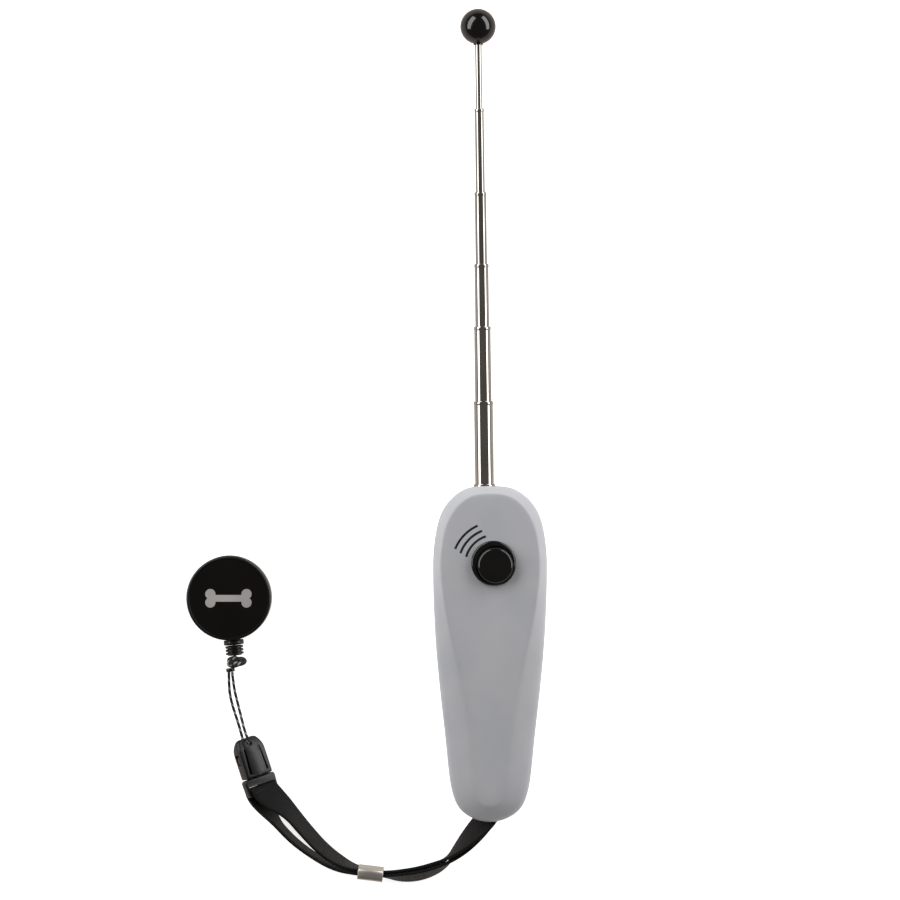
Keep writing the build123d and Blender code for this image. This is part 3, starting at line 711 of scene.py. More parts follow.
@dataclass
class Handle:
    """The two pebble-shaped shells, with the holes for telescope, button, strap and screws."""

    depth: float = 22.0
    split: float = 11.0
    flank: float = 16.0
    wall: float = 2.0
    seam: float = 0.12
    crown: float = 1.3
    side: list = field(default_factory=lambda: [
        (0, 57.5), (8.0, 57.0), (14.4, 52.0), (17.7, 45.6), (19.3, 36), (19.5, 27), (19.1, 13),
        (18.2, -1), (16.7, -16), (15.2, -29), (13.9, -42), (12.2, -49), (8.8, -54.3), (0, -57.5)])
    panel: list = field(default_factory=lambda: [
        (0, 55.0), (7.0, 54.2), (12.4, 49.2), (15.3, 43), (16.6, 35), (16.6, 27), (14.7, 13),
        (11.3, -1), (8.0, -16), (6.1, -29), (5.1, -41), (4.5, -46), (3.0, -49.6), (0, -51)])
    button: tuple[float, float] = (1.7, 30.9)
    screws: tuple = ((-11.3, 45.2), (11.3, 45.2), (-8.4, -36.0), (8.4, -36.0))

    def outline(self, half: list, resolution: int = 6) -> list[Vector]:
        """Close half an outline into a smooth ring.

        Args:
            half: Its points from the top of the handle to its bottom.
            resolution: Points between two of them.

        Returns:
            The ring's points.
        """
        whole = [Vector((x, y, 0)) for x, y in half] + [Vector((-x, y, 0)) for x, y in half[-2:0:-1]]
        # A cubic spline runs inside its control points, so each is first pushed out by what it loses.
        count = len(whole)
        pushed = [whole[i] + (whole[i] - (whole[i - 1] + whole[(i + 1) % count]) / 2) / 3 for i in range(count)]
        return smooth_line(pushed, order=4, resolution=resolution, closed=True)

    def level(self, height: float, blend: float, shrink: float = 0.0) -> list[Vector]:
        """One ring of the shell.

        Args:
            height: Its height at the handle's crown.
            blend: 0 on the side outline, 1 on the panel outline.
            shrink: How far it is pulled towards the handle's middle line, from 0 to 1.

        Returns:
            The ring's points.
        """
        ring_points = []
        for a, b in zip(self.outline(self.side), self.outline(self.panel)):
            point = a.lerp(b, blend)
            point.x *= 1 - shrink
            point.y *= 1 - 0.12 * shrink
            fall = self.crown * ((point.y - 22) / 75) ** 2 * max(0.0, min(1.0, blend))
            point.z = height - fall
            ring_points.append(point)
        return ring_points

    def front(self) -> bpy.types.Object:
        """The front shell: sides, flanks that widen downwards, and a crowned panel.

        Returns:
            The front shell.
        """
        low = self.split + self.seam
        steps = [(low, 0.02), (low + 0.15, 0.0), (13.5, 0.0), (15.0, 0.0), (15.9, 0.015), (16.8, 0.07),
                 (17.8, 0.19), (19.0, 0.41), (20.1, 0.62), (20.95, 0.79), (21.45, 0.9), (21.7, 0.99), (21.78, 1.08)]
        outer = [self.level(z, blend) for z, blend in steps]
        outer += [self.level(z, 1.08, shrink) for z, shrink in
                  ((21.86, 0.1), (21.92, 0.25), (21.96, 0.5), (21.99, 0.75), (22.0, 1.0))]
        inner = [self.level(z, blend, 0.11) for z, blend in
                 ((low, 0.02), (15.0, 0.0), (17.6, 0.35), (19.2, 0.85))]
        inner += [self.level(z, 1.0, shrink) for z, shrink in ((19.8, 0.4), (19.95, 1.0))]
        shape = loft(inner[::-1] + outer, cap_start=False, cap_end=False)
        shape = combined(shape, rod_of(*self.button, 7.0, 18, 24, 96), self.telescope_hole(), self.strap_hole())
        for x, y in self.screws:
            shape = joined(shape, rod_of(x, y, 2.8, self.split + 0.2, 18.4 if y > 0 else 16.2, 32))
        for x in (-1, 1):
            shape = joined(shape, rod_of(self.button[0] + x * 10.4, 31, 2.2, 13.6, 20.5, 32))
        return piece("front_shell_skin", shape, UPRIGHT, "handle", SATIN_ABS,
                     ("front_shell",), sharp=35)

    def back(self) -> bpy.types.Object:
        """The back shell: flat, with a rounded edge and four screw wells.

        Returns:
            The back shell.
        """
        top = self.split - self.seam
        outer = [self.level(top, 0.02), self.level(top - 0.15, 0.0), self.level(7, 0.0), self.level(4, 0.0)]
        edge = self.outline(self.side)
        count = len(edge)
        for k in range(1, 7):
            turn = pi / 2 * k / 6
            inset, height = 3.2 * (1 - cos(turn)), 3.2 * (1 - sin(turn))
            loop = []
            for i, point in enumerate(edge):
                along = edge[(i + 1) % count] - edge[i - 1]
                normal = Vector((-along.y, along.x, 0)).normalized()
                if normal.dot(point) > 0:
                    normal = -normal
                loop.append(point + normal * inset + Vector((0, 0, height)))
            outer.append(loop)
        rim = outer[-1]
        for shrink in (0.25, 0.6, 1.0):
            outer.append([Vector((p.x * (1 - shrink), p.y * (1 - 0.12 * shrink), 0)) for p in rim])
        inner = [self.level(top, 0.02, 0.11), self.level(5, 0.0, 0.11), self.level(3, 0.02, 0.16),
                 self.level(2.1, 0.05, 0.25), self.level(2, 0.05, 0.6), self.level(2, 0.05, 1.0)]
        for loop in inner:
            for point in loop:
                point.z = loop[0].z
        shape = loft(inner[::-1] + outer, cap_start=False, cap_end=False)
        wells = [rod_of(x, y, 2.1, -1, 3.0, 32) for x, y in self.screws]
        shape = combined(shape, *wells, self.telescope_hole(), self.strap_hole())
        for x, y in self.screws:
            shape = joined(shape, spun_post(x, y))
        return piece("back_shell_skin", shape, UPRIGHT, "handle", SATIN_ABS,
                     ("back_shell",), sharp=35)

    def telescope_hole(self) -> bmesh.types.BMesh:
        """The round hole in the top that the telescope stands in.

        Returns:
            A bar to cut with.
        """
        bar = rod_of(0, 0, 3.8, -12, 12)
        turn = Matrix.Rotation(radians(TELESCOPE_LEAN), 4, "Z") @ Matrix.Rotation(radians(-90), 4, "X")
        bmesh.ops.transform(bar, matrix=Matrix.Translation(TELESCOPE_BASE) @ turn, verts=bar.verts)
        return bar

    def strap_hole(self) -> bmesh.types.BMesh:
        """The slot in the bottom that the strap comes out of.

        Returns:
            A bar to cut with.
        """
        outline = rounded([(-7.25, 8.75), (5.25, 8.75), (5.25, 13.25), (-7.25, 13.25)], 1.6)
        return loft([[Vector((x, y, z)) for x, z in outline] for y in (-60, -53)])


def spun_post(x: float, y: float) -> bmesh.types.BMesh:
    """One hollow screw post of the back shell.

    Args:
        x: Its place across the handle.
        y: Its place along the handle.

    Returns:
        The post.
    """
    shape = spun([(2.8, 3.2), (2.8, 10.8), (1.2, 10.8), (1.2, 4.1), (2.1, 4.0), (2.1, 3.2)], 32)
    bmesh.ops.translate(shape, verts=shape.verts, vec=(x, y, 0))
    return shape


# ---- the button ----------------------------------------------------------------------------------

@dataclass
class Button:
    """The thumb button: a dished cap in a collar whose rim is wider on one side."""

    centre: tuple[float, float] = (1.7, 30.9)
    rim_centre: tuple[float, float] = (1.1, 31.6)
    cap_radius: float = 6.1
    bore: float = 6.25
    rim: float = 7.65
    rim_top: float = 23.4
    cap_top: float = 25.2
    front: float = 22.0

    def collar(self) -> bpy.types.Object:
        """The fixed collar.

        Returns:
            The collar.
        """
        x, y = self.centre
        rx, ry = self.rim_centre
        rings = [circle(x, y, 6.95, 20.1), circle(x, y, 6.95, self.front - 0.2),
                 circle(rx, ry, self.rim, self.front - 0.15), circle(rx, ry, self.rim, self.rim_top - 0.75)]
        for k in range(1, 6):
            turn = pi / 2 * k / 5
            rings.append(circle(rx, ry, self.rim - 0.75 * (1 - cos(turn)), self.rim_top - 0.75 * (1 - sin(turn))))
        # From the rim's top the collar falls inwards to the bore, further on the side where it is wider.
        rings += [circle(x, y, self.bore + 0.35, self.rim_top - 0.05), circle(x, y, self.bore + 0.1, self.rim_top - 0.2),
                  circle(x, y, self.bore, self.rim_top - 0.5), circle(x, y, self.bore, 20.1)]
        return piece("button_collar_ring", loft(rings, closed=True), UPRIGHT, "handle", GLOSS_ABS,
                     ("button_collar",), sharp=50)

    def cap(self) -> bpy.types.Object:
        """The cap that the thumb presses, with its flange and stem.

        Returns:
            The cap.
        """
        r, top, edge = self.cap_radius, self.cap_top, 1.15
        profile = [(0, 15.3), (1.8, 15.3), (2.0, 15.5), (2.0, 18.9), (6.6, 18.9), (6.75, 19.05), (6.75, 19.8),
                   (6.65, 19.9), (r, 19.95)]
        profile += [(r - edge * (1 - cos(pi / 2 * k / 8)), top - edge * (1 - sin(pi / 2 * k / 8)))
                    for k in range(9)]
        flat = r - edge
        profile += [(flat * (1 - k / 8), top - 0.45 * (1 - (1 - k / 8) ** 2)) for k in range(1, 9)]
        shape = spun(profile, 96, closed=False)
        bmesh.ops.translate(shape, verts=shape.verts, vec=(*self.centre, 0))
        return piece("button_cap_dished", shape, UPRIGHT, "button", GLOSS_ABS,
                     ("button_cap",), sharp=50)

    def click_waves(self, shell: bpy.types.Object) -> bpy.types.Object:
        """Three printed arcs beside the button, laid on the shell.

        Args:
            shell: The front shell that they are printed on.

        Returns:
            The print.
        """
        shapes = []
        for radius, start, end in ((10.3, 108, 164), (12.5, 111, 161), (14.7, 114, 158)):
            steps = 28
            turns = [radians(start + (end - start) * k / steps) for k in range(steps + 1)]
            line = [Vector((self.centre[0] + radius * cos(t), self.centre[1] + radius * sin(t), 0)) for t in turns]
            section = [(0.42, 0), (0.38, 0.02), (-0.38, 0.02), (-0.42, 0)]
            outward = [(point - Vector((*self.centre, 0))).normalized() for point in line]
            shapes.append(threaded(line, outward, section, [0, 0, 0, 0, 0]))
        shape = joined(*shapes)
        skin = BVHTree.FromPolygons([v.co for v in shell.data.vertices],
                                    [tuple(p.vertices) for p in shell.data.polygons])
        for vert in shape.verts:
            hit = skin.ray_cast(Vector((vert.co.x, vert.co.y, 30)) * MM, Vector((0, 0, -1)))[0]
            vert.co.z = hit.z / MM - 0.01 + abs(vert.co.z)
        return piece("click_wave_print", shape, UPRIGHT, "handle", INK)


# ---- the telescope -------------------------------------------------------------------------------

@dataclass
class Telescope:
    """Six chromed stages that slide in a base tube, and the ball on the last."""

    base_radius: float = 3.675
    step: float = 0.425
    wall: float = 0.25
    tops: tuple = (0.0, 28.5, 54.2, 75.8, 100.5, 129.3)
    section: float = 96.4
    base_end: float = -101.0
    ball_radius: float = 6.1
    ball_at: float = 157.6

    def place(self) -> Matrix:
        """The matrix that stands a spun piece on the telescope's axis."""
        lean = radians(TELESCOPE_LEAN)
        return about(TELESCOPE_BASE, Vector((-sin(lean), cos(lean), 0)))

    def tube(self, stage: int) -> bpy.types.Object:
        """One tube with its mouth rolled over the next.

        Args:
            stage: 0 for the base tube, 5 for the thinnest.

        Returns:
            The tube.
        """
        r, top = self.base_radius - self.step * stage, self.tops[stage]
        inner = r - self.step + 0.05
        bottom = self.base_end if stage == 0 else top - self.section
        bore = r - self.wall
        profile = [(r - 0.05, bottom), (r, bottom + 0.05), (r, bottom + 0.4), (r, top - 1.5), (r, top - 1.25),
                   (r + 0.06, top - 1.12), (r + 0.1, top - 0.9),
                   (r + 0.1, top - 0.42), (r + 0.07, top - 0.2), (r, top - 0.06), (r - 0.1, top - 0.01),
                   (inner + 0.06, top), (inner, top - 0.08), (inner, top - 0.75), (bore, top - 0.85), (bore, bottom)]
        name, node = ("base_tube", "antenna_base_tube") if stage == 0 else (
            f"chrome_tube_{stage}", f"antenna_section_{stage}")
        body = "handle" if stage == 0 else f"section_{stage}"
        return piece(name, spun(profile, 96), self.place(), body, CHROME, (node,), sharp=60)

    def tip(self) -> list[bpy.types.Object]:
        """The solid last stage and the ball on it.

        Returns:
            The rod and the ball.
        """
        r = self.base_radius - 6 * self.step
        low = self.ball_at - self.ball_radius
        foot = low - self.section
        profile = [(0, foot), (r - 0.15, foot), (r, foot + 0.15), (r, foot + 0.4), (r, low + 2.4), (r, low + 2.6),
                   (r - 0.1, low + 2.7), (0, low + 2.7)]
        rod = piece("chrome_tip_rod", spun(profile, 64, closed=False), self.place(), "tip", CHROME,
                    ("antenna_tip_rod",), sharp=50)
        # The ball is moulded round the rod with a short neck at its foot.
        hole, start = r + 0.02, 0.27
        profile = [(hole, self.ball_at - 3.4), (hole, low - 0.25), (hole + 0.45, low - 0.25), (hole + 0.55, low)]
        profile += [(self.ball_radius * sin(start + (pi - start) * k / 48),
                     self.ball_at - self.ball_radius * cos(start + (pi - start) * k / 48)) for k in range(49)]
        profile += [(0, self.ball_at + 3), (0, self.ball_at - 3.4)]
        shape = spun(profile[:-2] + [(0, self.ball_at + 6.1)], 96, closed=False)
        bmesh.ops.holes_fill(shape, edges=[e for e in shape.edges if e.is_boundary])
        bmesh.ops.recalc_face_normals(shape, faces=shape.faces)
        ball = piece("target_ball", shape, self.place(), "tip", GLOSS_ABS,
                     ("ball_tip",), sharp=50)
        return [rod, ball]


# ---- fasteners -----------------------------------------------------------------------------------

@dataclass
class CaseScrews:
    """The four screws in the back, with crossed recesses."""

    places: tuple = ((-11.3, 45.2), (11.3, 45.2), (-8.4, -36.0), (8.4, -36.0))
    head_radius: float = 1.95
    head: tuple[float, float] = (0.6, 3.9)
    shank_radius: float = 0.98
    end: float = 16.5
    pitch: float = 0.8

    def build(self) -> bpy.types.Object:
        """All four screws as one piece.

        Returns:
            The screws.
        """
        low, high = self.head
        profile = [(0, low), (self.head_radius - 0.35, low), (self.head_radius - 0.1, low + 0.12),
                   (self.head_radius, low + 0.4), (self.head_radius, high), (self.shank_radius, high)]
        turns = int((self.end - high) / self.pitch) - 1
        for k in range(turns):
            at = high + 0.3 + k * self.pitch
            profile += [(self.shank_radius - 0.25, at), (self.shank_radius, at + self.pitch / 2)]
        profile += [(self.shank_radius - 0.3, self.end - 0.6), (0, self.end)]
        shapes = []
        for i, (x, y) in enumerate(self.places):
            screw = combined(spun(profile, 40, closed=False), box_of((-1.15, -0.2, -1), (1.15, 0.2, low + 0.8)),
                             box_of((-0.2, -1.15, -1), (0.2, 1.15, low + 0.8)))
            turn = Matrix.Translation((x, y, 0)) @ Matrix.Rotation(0.7 + 1.9 * i, 4, "Z")
            bmesh.ops.transform(screw, matrix=turn, verts=screw.verts)
            shapes.append(screw)
        return piece("case_screws_cross", joined(*shapes), UPRIGHT, "handle", ZINC, ("case_screws",))


# ---- the wrist strap -----------------------------------------------------------------------------

@dataclass
class Buckle:
    """The side-release buckle, in its own axes: Y towards its cord end, Z out of its raised panel."""

    joint: tuple[float, float, float] = (-80.2, -42.6, 5.2)
    lean: float = 18.0
    roll: float = 30.0
    length: float = 13.9
    half_width: float = 4.95
    depth: float = 5.4
    tip_depth: float = 1.8
    taper_from: float = 10.2
    eye: tuple[float, float] = (11.9, 0.95)

    def axes(self) -> tuple[Vector, Vector]:
        """The row-frame directions of its own X and Y.

        Returns:
            Across and along.
        """
        lean, roll = radians(self.lean), radians(self.roll)
        return Vector((cos(lean) * cos(roll), sin(lean) * cos(roll), -sin(roll))), Vector((-sin(lean), cos(lean), 0))

    def place(self) -> Matrix:
        """The matrix that puts its own millimetres in the row frame."""
        return placed(Vector(self.joint), *self.axes())

    def spot(self, x: float, y: float, z: float) -> Vector:
        """Turn one of its own points into the row frame.

        Args:
            x: Across.
            y: Towards the cord end.
            z: Out of the panel.

        Returns:
            The point, in millimetres.
        """
        across, along = self.axes()
        return Vector(self.joint) + across * x + along * y + across.cross(along) * z

    def wedges(self, lift: float) -> list[bmesh.types.BMesh]:
        """The two wedges that taper the tip.

        Args:
            lift: How far they are moved away from the middle.

        Returns:
            The upper and the lower wedge.
        """
        out = []
        for side in (-1, 1):
            corners = [(self.taper_from - 1.5, self.depth / 2 + lift), (self.taper_from + 0.4, self.depth / 2 - 0.15 + lift),
                       (self.length, self.tip_depth / 2 + lift), (self.length + 2, self.tip_depth / 2 - 0.4 + lift),
                       (self.length + 2, 8), (self.taper_from - 1.5, 8)]
            out.append(loft([[Vector((x, y, side * z)) for y, z in corners] for x in (-9, 9)]))
        return out

    def outline(self) -> list[tuple[float, float]]:
        """The bullet-shaped outline of the female half.

        Returns:
            Its corners.
        """
        w, top = self.half_width, 2.6
        points = [(-w, 0.15), (w, 0.15), (w, 8.6)]
        for k in range(1, 10):
            turn = pi / 2 * k / 9
            points.append((top + (w - top) * cos(turn) ** 0.9, 8.6 + (self.length - 8.6) * sin(turn)))
        return points + [(-x, y) for x, y in points[:1:-1]]

    def female(self) -> bpy.types.Object:
        """The half that the cord is tied to.

        Returns:
            The female half.
        """
        body = slab(self.outline(), -self.depth / 2, self.depth / 2)
        body = combined(body, *self.wedges(0.0))
        body = softened(body, 0.55, 40, 3)
        channel = [(-3.75, 1.7), (-2.8, 1.4), (-2.5, 10.7), (-3.1, 10.3)]
        channels = [slab([(side * x, y) for x, y in channel], self.depth / 2 - 0.85, 4) for side in (-1, 1)]
        windows = [slab(rounded([(side * 3.4, 5.5), (side * 7, 5.5), (side * 7, 9.2), (side * 3.4, 8.9)], 0.4), -1.45, 1.45)
                   for side in (-1, 1)]
        body = combined(body, slab([(-3.9, -1), (3.9, -1), (3.9, 9.8), (-3.9, 9.8)], -1.4, 1.4), *windows, *channels)
        panel = slab(rounded([(-2.5, 13.1), (-2.9, 1.4), (0, 0.3), (2.9, 1.4), (2.5, 13.1)], 0.4), 1.0, self.depth / 2 + 0.35)
        panel = softened(combined(panel, self.wedges(0.3)[1]), 0.2, 40, 2)
        body = combined(body, panel, how=Merge.FUSE)
        eye_at, eye_radius = self.eye
        body = combined(body, rod_of(0, eye_at, eye_radius, -5, 5, 32))
        return piece("buckle_female_half", body, self.place(), "tether", BUCKLE_ACETAL,
                     ("buckle_female",), sharp=35)

    def male(self) -> bpy.types.Object:
        """The half that the webbing goes round, with its middle tongue.

        Returns:
            The male half.
        """
        frame_outline = rounded([(-6.0, -0.05), (-5.7, -6.2), (5.7, -6.2), (6.0, -0.05)], 1.2)
        body = softened(slab(frame_outline, -1.7, 1.7), 0.5, 40, 3)
        body = combined(body, slab(rounded([(-5.2, -4.7), (5.2, -4.7), (5.2, -2.8), (-5.2, -2.6)], 0.4), -4, 4))
        tongue = softened(slab([(-1.3, -0.8), (1.3, -0.8), (1.3, 8.4), (0.8, 8.9), (-0.8, 8.9), (-1.3, 8.4)], -1.1, 1.1), 0.2)
        return piece("buckle_male_half", joined(body, tongue), self.place(), "handle", BUCKLE_ACETAL,
                     ("buckle_male",), sharp=35)

    def prongs(self) -> bpy.types.Object:
        """The two sprung arms that latch in the windows.

        Returns:
            The prongs.
        """
        arms = []
        for side in (-1, 1):
            arm = [(3.7, -0.6), (3.7, 5.2), (4.2, 5.6), (4.85, 5.7), (4.85, 7.6), (4.4, 8.8), (2.8, 8.8), (2.5, -0.6)]
            arms.append(softened(slab([(side * x, y) for x, y in arm], -1.2, 1.2), 0.25))
        return piece("buckle_latch_prongs", joined(*arms), self.place(), "handle", BUCKLE_ACETAL,
                     ("buckle_prongs",), sharp=35)


@dataclass
class WristStrap:
    """One length of webbing, folded in half: from the pin in the handle through the ferrule to the buckle."""

    width: float = 10.0
    thickness: float = 1.1
    upper: tuple = (
        (-1.0, -50.9, 11.0), (-1.0, -51.1, 12.5), (-1.0, -52.8, 12.65), (-1.9, -57.0, 12.0), (-5.9, -61.4, 10.0),
        (-11.1, -66.9, 7.7), (-16.5, -72.2, 6.0), (-23.3, -75.2, 5.6), (-30.0, -76.3, 5.5), (-36.8, -75.7, 5.5),
        (-45.2, -74.6, 5.5), (-51.0, -72.4, 5.6), (-57.5, -67.8, 5.8), (-63.5, -61.2, 6.2), (-69.6, -53.7, 6.7))
    lower: tuple = (
        (-1.0, -50.9, 11.0), (-1.0, -51.1, 9.5), (-1.0, -52.8, 9.35), (-1.9, -57.2, 9.8), (-5.3, -61.9, 8.3),
        (-10.1, -67.9, 6.6), (-15.5, -73.6, 5.7), (-22.7, -76.7, 5.5), (-30.0, -77.6, 5.5), (-36.8, -76.9, 5.5),
        (-45.6, -75.8, 5.5), (-53.6, -74.2, 5.6), (-61.1, -69.8, 5.6), (-68.4, -64.3, 5.6), (-75.0, -57.0, 5.3))

    def section(self) -> tuple[list[tuple[float, float]], list[float]]:
        """The webbing's cross-section, with rounded selvedges, and each corner's U in metres.

        Returns:
            The corners and their U.
        """
        half, thick = self.width / 2, self.thickness / 2
        top = [(-half + 0.5 + (self.width - 1.0) * k / 10, thick) for k in range(11)]
        edge = [(half - 0.5 + 0.5 * cos(t), thick * sin(t)) for t in (pi / 3, pi / 6, 0, -pi / 6, -pi / 3)]
        corners = top + edge + [(-x, -y) for x, y in top] + [(-x, -y) for x, y in edge]
        girth = [0.0]
        for a, b in zip(corners, corners[1:] + corners[:1]):
            girth.append(girth[-1] + hypot(b[0] - a[0], b[1] - a[1]) * MM)
        return corners, girth

    def layer(self, name: str, route: tuple, end: list[Vector], rolls: tuple, held: Vector,
              node: str) -> bpy.types.Object:
        """One of the two layers.

        Args:
            name: The piece's name.
            route: Its points from the pin to just before the buckle.
            end: Its last points, over the buckle's bar and into the slot.
            rolls: How far its width is rolled up from level at every point, in degrees.
            held: The direction of its width in the buckle.
            node: The CAD node that it stands for.

        Returns:
            The webbing.
        """
        points = [Vector(place) for place in route] + end
        line = smooth_line(points, resolution=14)
        grips = [0.0] * (len(rolls) - len(end)) + [1.0] * len(end)
        spread = smooth_line([Vector((roll, grip, 0)) for roll, grip in zip(rolls, grips)], resolution=14)
        level, widths = Vector((1, 0, 0)), []
        for i, roll in enumerate(spread):
            run = line[min(i + 1, len(line) - 1)] - line[max(i - 1, 0)]
            if hypot(run.x, run.y) > 0.25 * run.length:
                level = Vector((-run.y, run.x, 0)).normalized()
            free = level * cos(radians(roll.x)) + Vector((0, 0, sin(radians(roll.x))))
            widths.append(free.lerp(held, roll.y))
        shape = threaded(line, widths, *self.section())
        strap = piece(name, shape, UPRIGHT, "handle", WEBBING, (node,), sharp=75)
        return strap

    def build(self, buckle: Buckle) -> list[bpy.types.Object]:
        """Both layers.

        Args:
            buckle: The buckle that they end in.

        Returns:
            The upper and the lower layer.
        """
        roll = buckle.roll
        upper_end = [buckle.spot(0.3, -6.0, 2.5), buckle.spot(0.1, -3.6, 2.3), buckle.spot(0, -3.4, 0.2)]
        upper_rolls = (0, 0, 0, 52, 58, 76, 104, 113, 112, 96, 90, 76, 70, 68, 65, roll + 20, roll, roll)
        lower_end = [buckle.spot(-0.4, -6.0, -2.5), buckle.spot(-0.1, -3.6, -2.3), buckle.spot(0, -3.4, -0.2)]
        lower_rolls = (0, 0, 0, 50, 56, 74, 104, 113, 112, 96, 90, 88, 86, 84, 82, roll + 30, roll + 2, roll)
        held = -buckle.axes()[0]
        return [self.layer("webbing_upper_layer", self.upper, upper_end, upper_rolls, held, "strap_upper_layer"),
                self.layer("webbing_lower_layer", self.lower, lower_end, lower_rolls, held, "strap_lower_layer")]


@dataclass
class Ferrule:
    """The pressed steel sleeve that holds the webbing's two layers together."""

    centre: tuple[float, float, float] = (-41.1, -75.85, 6.2)
    turn: float = 7.0
    size: tuple[float, float, float] = (8.7, 4.2, 11.8)
    wall: float = 0.5

    def build(self) -> bpy.types.Object:
        """The sleeve, rounded at its mouths.

        Returns:
            The ferrule.
        """
        long, deep, tall = self.size

        def loop(at: float, inset: float) -> list[Vector]:
            """One ring of the sleeve."""
            x, y = deep / 2 - inset, tall / 2 - inset
            return [Vector((u, v, at)) for u, v in rounded([(-x, -y), (x, -y), (x, y), (-x, y)], 1.7 - inset, 7)]

        half, wall = long / 2, self.wall
        rings = [loop(-half + 0.15, 0), loop(half - 0.15, 0), loop(half - 0.04, 0.05), loop(half, 0.18),
                 loop(half, wall - 0.12), loop(half - 0.12, wall), loop(-half + 0.12, wall), loop(-half, wall - 0.12),
                 loop(-half, 0.18), loop(-half + 0.04, 0.05)]
        turn = radians(self.turn)
        along = Vector((cos(turn), -sin(turn), 0))
        across = Vector((sin(turn), cos(turn), 0))
        place = placed(Vector(self.centre), across, along.cross(across))
        return piece("ferrule_sleeve", loft(rings, closed=True), place, "handle", NICKEL,
                     ("strap_ferrule",), sharp=50)


# ---- the cord and its knot -----------------------------------------------------------------------

@dataclass
class Tether:
    """The thin cord between buckle and reel, its knot, its crimp and the ribbed stopper."""

    reel_centre: tuple[float, float, float] = (-89.6, 19.3, 9.9)
    neck_lean: float = 5.7
    diameter: float = 1.0
    loop_route: tuple = (
        (-88.6, -6.4, 9.8), (-88.2, -11.8, 7.6), (-87.0, -17.0, 6.2), (-85.7, -22.2, 6.2), (-84.4, -27.2, 6.8),
        (-83.3, -29.6, 7.1), (-83.4, -31.2, 6.0), (-84.3, -31.4, 4.4), (-85.4, -30.2, 3.1), (-86.0, -27.6, 3.2),
        (-87.5, -22.6, 3.4), (-89.2, -17.2, 4.4), (-90.0, -11.8, 6.4), (-89.8, -6.3, 8.9))
    knot: tuple[float, float] = (20.0, 24.3)

    def down(self) -> Vector:
        """The direction of the reel's neck."""
        return Vector((sin(radians(self.neck_lean)), -cos(radians(self.neck_lean)), 0))

    def place(self) -> Matrix:
        """The matrix that stands a spun piece on the neck's axis."""
        return about(Vector(self.reel_centre), self.down())

    def stopper(self) -> bpy.types.Object:
        """The ribbed stopper on the cord.

        Returns:
            The stopper.
        """
        profile = [(0.55, 16.5), (2.4, 16.5)]
        for k in range(3):
            at = 16.6 + k * 1.1
            profile += [(2.95, at), (3.1, at + 0.12), (3.1, at + 0.62), (2.95, at + 0.74), (2.4, at + 0.8), (2.4, at + 1.0)]
        profile += [(2.2, 19.9), (0.55, 19.9)]
        return piece("cord_stopper_ribbed", spun(profile, 64), self.place(), "tether", REEL_ABS,
                     ("reel_stopper",), sharp=50)

    def knot_lump(self) -> bpy.types.Object:
        """The knot in the doubled cord.

        Returns:
            The knot.
        """
        down = self.down()
        across = Vector((-down.y, down.x, 0))
        middle = Vector(self.reel_centre) + down * sum(self.knot) / 2 + across * 0.1
        line = []
        for k in range(121):
            t = 2 * pi * k / 120 + 0.6
            line.append(middle + across * (2.2 + 0.75 * cos(3 * t)) * cos(2 * t)
                        + down * (0.85 + 0.5 * cos(3 * t)) * sin(2 * t) + Vector((0, 0, 1.25 * sin(3 * t))))
        shape = braid(line, 0.83, 14)
        return piece("cord_knot_tied", shape, UPRIGHT, "tether", BRAID, ("cord_knot",), sharp=75)

    def crimp(self) -> bpy.types.Object:
        """The small ring that closes the loop below the knot.

        Returns:
            The crimp.
        """
        down = self.down()
        side = Vector((down.y, -down.x, 0)) * 2.1
        origin = Vector(self.reel_centre) + side + Vector((0, 0, -0.5))
        profile = rounded([(1.0, 24.2), (1.5, 24.2), (1.5, 25.4), (1.0, 25.4)], 0.2, 3)
        return piece("cord_crimp_ring", spun(profile, 40), about(origin, down), "tether", REEL_ABS,
                     ("cord_crimp",), sharp=50)

    def stub(self) -> bpy.types.Object:
        """The cord between the knot and the reel, which the reel pays out.

        Returns:
            The stub, on no body.
        """
        down, centre = self.down(), Vector(self.reel_centre)
        line = [centre + down * (12.8 + 7.4 * k / 48) for k in range(49)]
        cord = piece("reel_cord_run", braid(line, 0.45), UPRIGHT, "", BRAID,
                     ("reel_cord",), sharp=75)
        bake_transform(cord)
        return cord

    def loop(self, with_pieces: list[bpy.types.Object]) -> bpy.types.Object:
        """The loop of cord through the buckle's eye.

        Args:
            with_pieces: Not used.

        Returns:
            The cord.
        """
        points = [Vector(place) for place in self.loop_route]
        line = smooth_line(points, resolution=14)
        cord = piece("cord_loop_braided", braid(line, self.diameter / 2), UPRIGHT, "tether", BRAID,
                     ("cord_loop",), sharp=75)
        return cord


# ---- the reel ------------------------------------------------------------------------------------

